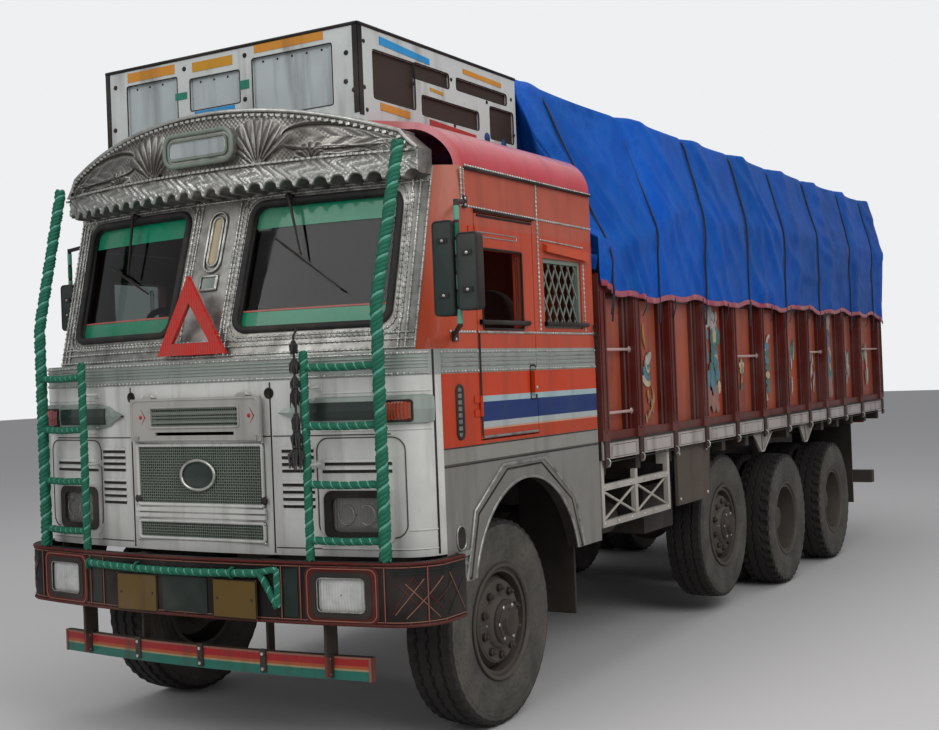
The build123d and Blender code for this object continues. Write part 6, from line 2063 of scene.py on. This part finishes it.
def rear_details():
    """Painted bands and bolts of the under-run bar."""
    build = Build()
    x = at(-7.560)
    for k in range(10):
        y = -1.15 + 0.23 * k
        band = [[(x - 0.001, y + across, z) for z in (0.528, 0.632)] for across in (0.004, 0.226)]
        build.grid(band, k % 2, False)
    for side in (1, -1):
        for y in (0.47, 1.09):
            build.nut((x - 0.001, side * y, 0.58), (-1, 0, 0), 0.014, 0.010, 2)
    build.make("rear_bands", ["red", "cream", "bead"], slot="chassis_paint")


# Cab sides

arch_x, arch_z = -0.085, 0.670


def bead_row(build, start, end, normal, pitch, size=0.0075):
    """A raised line with a row of pressed beads on it."""
    build.tube([start, end], size * 0.62, 0, 6)
    for spot, _ in spaced([start, end], pitch):
        build.dome(spot, normal, size, size * 0.9, 0, 6)


def side_x_at(z):
    """Where the flat side of the cab begins, behind the rounded corner, at a height."""
    if z < sill_z:
        return at(lower_plan["side_x"])
    share = min(1.0, (z - sill_z) / (gutter_z - sill_z))
    return at(blend_plan(sill_plan, gutter_plan, share)["side_x"])


def side_band(build, y, out, front, rib_front, rear):
    """Bead rows and pressed ribs of the band under the side windows."""
    for z in bead_heights:
        bead_row(build, (at(front), y, z), (at(rear), y, z), out, 0.028, 0.007)
    for z in rib_heights:
        build.tube([(at(rib_front), y, z), (at(rear), y, z)], 0.004, 0, 6)


def sill_bar(build, side, y, front, rear, deep):
    """Black bar under a side window, with a block near each end."""
    out = y + side * 0.010
    build.tube([(at(front), out, 1.997), (at(rear), out, 1.997)], 0.012, 1, 8)
    for x in (front - 0.010, rear + 0.010):
        build.box((at(x) - 0.010, y - side * deep, 1.985), (at(x) + 0.010, y + side * 0.014, 2.009), 1)


def cab_side_trim():
    """Rain gutter, beaded lines, pillar bars, corner slot, wheel-arch lip, skirt seams, hole and latch."""
    build = Build()
    for side in (1, -1):
        y = side * cab_face
        out = Vector((0, side, 0))
        rear = at(-0.922)
        build.box((side_x_at(2.72), y, 2.712), (rear, y + side * 0.016, 2.722), 1)
        lift = y + side * 0.008
        bead_row(build, (side_x_at(2.72), lift, 2.728), (rear, lift, 2.722), out, 0.024)
        bead_row(build, (side_x_at(2.54), y, 2.540), (rear, y, 2.531), out, 0.024)
        build.box((at(0.36), y, 2.522), (at(-0.24), y + side * 0.012, 2.530), 1)
        for x, low, high, size in ((0.462, 2.545, 2.712, 0.008), (0.436, 2.545, 2.712, 0.005),
                                   (-0.285, 2.535, 2.712, 0.008)):
            bead_row(build, (at(x), y, low), (at(x), y, high), out, 0.022, size)
        for x0, z0, x1, z1, pitch, size in (
                (-0.288, 2.53, -0.288, 1.968, 0.022, 0.009), (-0.318, 2.432, -0.815, 2.420, 0.024, 0.006),
                (-0.815, 2.325, -0.822, 1.968, 0.024, 0.008), (-0.245, 1.950, -0.922, 1.950, 0.022, 0.008)):
            bead_row(build, (at(x0), y, z0), (at(x1), y, z1), out, pitch, size)
        bead_row(build, (side_x_at(1.95), y, 1.950), (at(0.385), y, 1.950), out, 0.022, 0.008)
        for x0, x1 in ((0.690, 0.366), (-0.238, -0.920)):
            side_band(build, y, out, x0, x0, x1)
        visor = [(-0.350, 2.405), (-0.350, 2.372), (-0.850, 2.345), (-0.850, 2.392)]
        face = [Vector((at(x), y + side * 0.022, z)) for x, z in visor]
        back = [Vector((at(x), y - side * 0.001, z + 0.012)) for x, z in visor]
        build.add(face, [(0, 1, 2, 3) if side > 0 else (3, 2, 1, 0)], 2)
        build.add(face + back, rim_faces, 2)
        sill_bar(build, side, y, -0.335, -0.835, 0.0)
        slot_ring = along_loop((at(0.545), y, 1.580), 0.028, 0.122, 0.027, 8)
        build.tube(slot_ring, 0.008, 1, 8, True)
        inner = along_loop((at(0.545), y + side * 0.001, 1.580), 0.024, 0.118, 0.023, 8)
        outline_patch(build, facing(side, inner), 3)
        for k in range(7):
            build.slab((at(0.545), y + side * 0.003, 1.49 + 0.03 * k), x_axis, z_axis,
                       (0.030, 0.010, 0.004), 1)
        for z in (1.418, 1.336):
            build.tube([(at(0.695), y - side * 0.001, z), (at(-0.920), y - side * 0.001, z)], 0.0035, 1, 6)
        outer = [(0.545, 0.806), (0.488, 0.981), (0.452, 1.113), (0.166, 1.306), (-0.266, 1.312),
                 (-0.603, 1.085), (-0.697, 0.806)]
        middle = [(0.505, 0.806), (0.455, 0.978), (0.418, 1.098), (0.128, 1.284), (-0.232, 1.288),
                  (-0.565, 1.070), (-0.672, 0.806)]
        for shape, size, slot in ((outer, 0.010, 3), (middle, 0.006, 1)):
            build.tube([(at(x), y + side * 0.002, z) for x, z in shape], size, slot, 8)
        lip = []
        for turn in np.linspace(math.radians(14), math.radians(166), 44):
            lip.append((at(arch_x) + 0.561 * math.cos(turn), y, arch_z + 0.561 * math.sin(turn)))
        build.tube(lip, 0.009, 3, 8)
        rows = []
        for share in np.linspace(0, 1, 40):
            share = float(share)
            turn = math.radians(14 + 152 * share)
            face = y + side * 0.0035
            arch = Vector((at(arch_x) + 0.563 * math.cos(turn), face, arch_z + 0.563 * math.sin(turn)))
            rows.append([arch, arch_edge(outer, turn, face)])
        build.grid(rows if side > 0 else rows[::-1], 4, False)
        hole = along_loop((at(0.577), y + side * 0.001, 1.005), 0.038, 0.055, 0.036, 8)
        outline_patch(build, facing(side, hole), 1)
        build.tube(hole, 0.005, 3, 6, True)
        build.slab((at(0.577), y + side * 0.008, 0.936), x_axis, z_axis, (0.115, 0.024, 0.016), 3)
        build.tube([(at(0.620), y + side * 0.012, 0.906), (at(0.592), y + side * 0.030, 0.895),
                    (at(0.560), y + side * 0.012, 0.890)], 0.011, 3, 8)
        build.slab((at(0.590), y + side * 0.005, 0.850), x_axis, z_axis, (0.075, 0.060, 0.010), 3)
        build.dome((at(0.590), y + side * 0.010, 0.850), (0, side, 0), 0.014, 0.010, 3, 10)
        chain = [(-0.938, 1.985), (-0.945, 1.955), (-0.950, 1.925), (-0.950, 1.895), (-0.945, 1.865)]
        for k, (x, z) in enumerate(chain):
            ring = []
            for turn in full_turn(10):
                wide = 0.010 * math.cos(turn)
                flat = (wide, 0.0) if k % 2 else (0.0, wide)
                ring.append((at(x + 0.02) + flat[0], y + side * 0.013 + flat[1], z + 0.021 * math.sin(turn)))
            build.tube(ring, 0.0035, 1, 5, True)
    build.make("cab_side_trim", ["bead", "black_metal", "orange", "silver", "arch"], slot="silver_trim")


def arch_edge(outline, turn, y):
    """Where a ray from the arch's centre at an angle meets an outline."""
    centre = Vector((arch_x, arch_z))
    ray = Vector((math.cos(turn), math.sin(turn)))
    for (ax, az), (bx, bz) in zip(outline[:-1], outline[1:]):
        a = Vector((ax, az)) - centre
        step = Vector((bx - ax, bz - az))
        cross = ray.x * step.y - ray.y * step.x
        if abs(cross) < 1e-9:
            continue
        reach = (a.x * step.y - a.y * step.x) / cross
        share = (a.x * ray.y - a.y * ray.x) / cross
        if reach > 0 and -0.001 <= share <= 1.001:
            spot = centre + ray * reach
            return Vector((at(spot.x), y, spot.y))
    spot = centre + ray * 0.60
    return Vector((at(spot.x), y, spot.y))


def door_trim():
    """Pressed oval, sill bar, window edge, handle plate and painted lines of each door."""
    for name, body, side in (("door_trim_left", "left_door", 1), ("door_trim_right", "right_door", -1)):
        build = Build()
        y = side * cab_face
        out = Vector((0, side, 0))
        build.tube(along_loop((at(0.145), y, 2.416), 0.205, 0.011, 0.010, 6), 0.003, 0, 6, True)
        build.tube(along_loop((at(0.0975), y, 2.1575), 0.2025, 0.1925, 0.010, 3), 0.006, 1, 6, True)
        sill_bar(build, side, y, 0.335, -0.150, 0.001)
        bead_row(build, (at(0.345), y, 1.950), (at(-0.216), y, 1.950), out, 0.022, 0.008)
        side_band(build, y, out, 0.330, 0.345, -0.216)
        for x0, z0, x1, z1, radius, slot in (
                (0.345, 1.945, 0.345, 1.460, 0.007, 1), (0.340, 1.452, -0.214, 1.452, 0.007, 3),
                (0.330, 2.505, -0.214, 2.505, 0.006, 1)):
            build.tube([(at(x0), y, z0), (at(x1), y, z1)], radius, slot, 6)
        build.tube(along_loop((at(-0.184), y, 1.700), 0.030, 0.085, 0.012), 0.004, 1, 6, True)
        build.dome((at(-0.184), y + side * 0.022, 1.672), (0, side, 0), 0.009, 0.004, 0, 10)
        build.tube(along_loop((at(-0.048), y, 2.165), 0.010, 0.155, 0.009), 0.003, 1, 6, True)
        build.make(name, ["bead", "black_metal", "orange", "silver"], body, slot="silver_trim")


def mirror_details():
    """Glass, rims, clamps and painted bands of the mirrors."""
    build = Build()
    heads = ((0.787, 1.3385, 2.220, 0.0535, 0.210, 1), (0.787, 1.4615, 2.200, 0.0535, 0.170, 1),
             (0.373, 1.4625, 2.2225, 0.0525, 0.1325, -1))
    for x, y, z, half_w, half_h, side in heads:
        y *= side
        for face, way in ((at(x) - 0.0255, -1), (at(x) + 0.0255, 1)):
            loop = across_loop((face, y, z), half_w - 0.005, half_h - 0.005, 0.018)
            build.tube(loop, 0.0045, 1, 6, True)
            pane = across_loop((face + way * 0.001, y, z), half_w - 0.007, half_h - 0.007, 0.016)
            corners = tuple(range(len(pane)))
            build.add(pane, [corners if way > 0 else corners[::-1]], 0 if way < 0 else 2)
        for dz in (0.09 - half_h, half_h - 0.09):
            build.slab((at(x) + 0.029, y, z + dz), y_axis, z_axis, (0.05, 0.022, 0.006), 1)
            build.dome((at(x) + 0.032, y, z + dz), x_axis, 0.008, 0.005, 3, 8)
    for x, y, low, high in ((0.787, 1.400, 1.975, 2.505), (0.373, -1.460, 2.005, 2.548)):
        count = int((high - low) / 0.07)
        for k in range(count):
            a = low + (high - low) * k / count
            b = low + (high - low) * (k + 0.82) / count
            build.tube([(at(x), y, a), (at(x), y, b)], 0.0125, 4 if k % 2 else 5, 10)
    for side in (1, -1):
        for x, z in ((0.57, 1.915), (0.57, 1.945), (0.4425, 2.542), (0.4425, 2.573)):
            build.dome((at(x), side * 1.245, z), (0, side, 0), 0.008, 0.006, 3, 8)
    build.make("mirror_details", ["mirror", "rubber", "screen_dark", "bead", "rope", "rope_light"],
               slot="black_plastic")


# Seats

def cushion(build, low, high, puff, power, seams):
    """A closed crowned pad in a box, with its seams pulled in."""
    middle = (Vector(low) + Vector(high)) / 2
    half = (Vector(high) - Vector(low)) / 2
    rows = []
    for a in np.linspace(-math.pi / 2, math.pi / 2, 25):
        row = []
        for b in np.linspace(-math.pi, math.pi, 56, endpoint=False):
            ca, sa = abs(math.cos(a)) ** power, math.copysign(abs(math.sin(a)) ** power, a)
            cb = math.copysign(abs(math.cos(b)) ** power, math.cos(b))
            sb = math.copysign(abs(math.sin(b)) ** power, math.sin(b))
            unit = Vector((ca * cb, ca * sb, sa))
            flat = max(abs(unit.x), abs(unit.y))
            crown = 1 - puff * flat ** 4
            bow = 1 - puff * 0.25 * (1 - abs(unit.y))
            spot = Vector((unit.x * half.x * bow, unit.y * half.y, unit.z * half.z * crown))
            for place in seams:
                near = abs(spot.y - place * half.y)
                spot.z -= math.copysign(0.010 * math.exp(-(near / 0.012) ** 2), spot.z)
            row.append(middle + spot)
        rows.append(row)
    build.grid(rows, 0, True, True)


def seat_pads():
    """Sewn seat cushions and backs, the berth mattress and their frames."""
    base = 1.270
    for side, name in ((1, "left"), (-1, "right")):
        y0, y1 = sorted((side * 0.502, side * 1.048))
        for part, low, high, seams in (
                ("seat", (at(-0.285), y0, base + 0.245), (at(0.178), y1, base + 0.378), (-0.5, 0.0, 0.5)),
                ("back", (at(-0.428), y0, base + 0.330), (at(-0.292), y1, base + 0.928), ())):
            build = Build()
            cushion(build, low, high, 0.22, 0.34, seams)
            piece = build.make(f"{part}_pad_{name}", ["seat"], slot="seat_fabric")
    build = Build()
    seams = (-0.6, -0.2, 0.2, 0.6)
    cushion(build, (at(-0.898), -1.148, 1.522), (at(-0.452), 1.148, 1.638), 0.18, 0.22, seams)
    piece = build.make("berth_pad", ["seat"], slot="seat_fabric")
    frames = Build()
    for side in (1, -1):
        y0, y1 = sorted((side * 0.592, side * 0.958))
        frames.box((at(-0.258), y0, base + 0.001), (at(0.108), y1, base + 0.20), 0)
        frames.box((at(-0.300), y0 - 0.06, base + 0.20), (at(0.150), y1 + 0.06, base + 0.243), 0)
        for y in (y0 + 0.02, y1 - 0.02):
            upright = [(at(-0.300), y, base + 0.22), (at(-0.436), y, base + 0.36),
                       (at(-0.436), y, base + 0.86)]
            frames.tube(upright, 0.012, 0, 8)
        frames.box((at(-0.890), side * 1.10, base), (at(-0.480), side * 1.14, 1.505), 0)
        for y in (y0 + 0.09, (y0 + y1) / 2, y1 - 0.09):
            frames.dome((at(0.108), y, base + 0.10), x_axis, 0.008, 0.005, 1, 8)
    frames.box((at(-0.898), -1.145, 1.500), (at(-0.455), 1.145, 1.521), 0)
    frame = frames.make("seat_frames", ["inside", "bead"], slot="seat_fabric")
    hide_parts("seats")


# Whole scene


add_camera()
dress_cad()
add_studio()
rope_guards()
tassel()
crown_relief()
sign_frame()
box_details()
cab_side_trim()
door_trim()
mirror_details()
seat_pads()
screen_trim()
pillar_niche()
screen_bands()
wipers()
front_band()
louvres()
mesh_grilles()
lid_details()
turn_lamps()
head_lamp_details()
bumper_paintwork()
plank_paintwork()
wheels()
cover, cover_rows = tarp_sheet()
trim_names = tarp_trim(cover_rows)
body_details()
under_body()
gate_details()
rear_details()
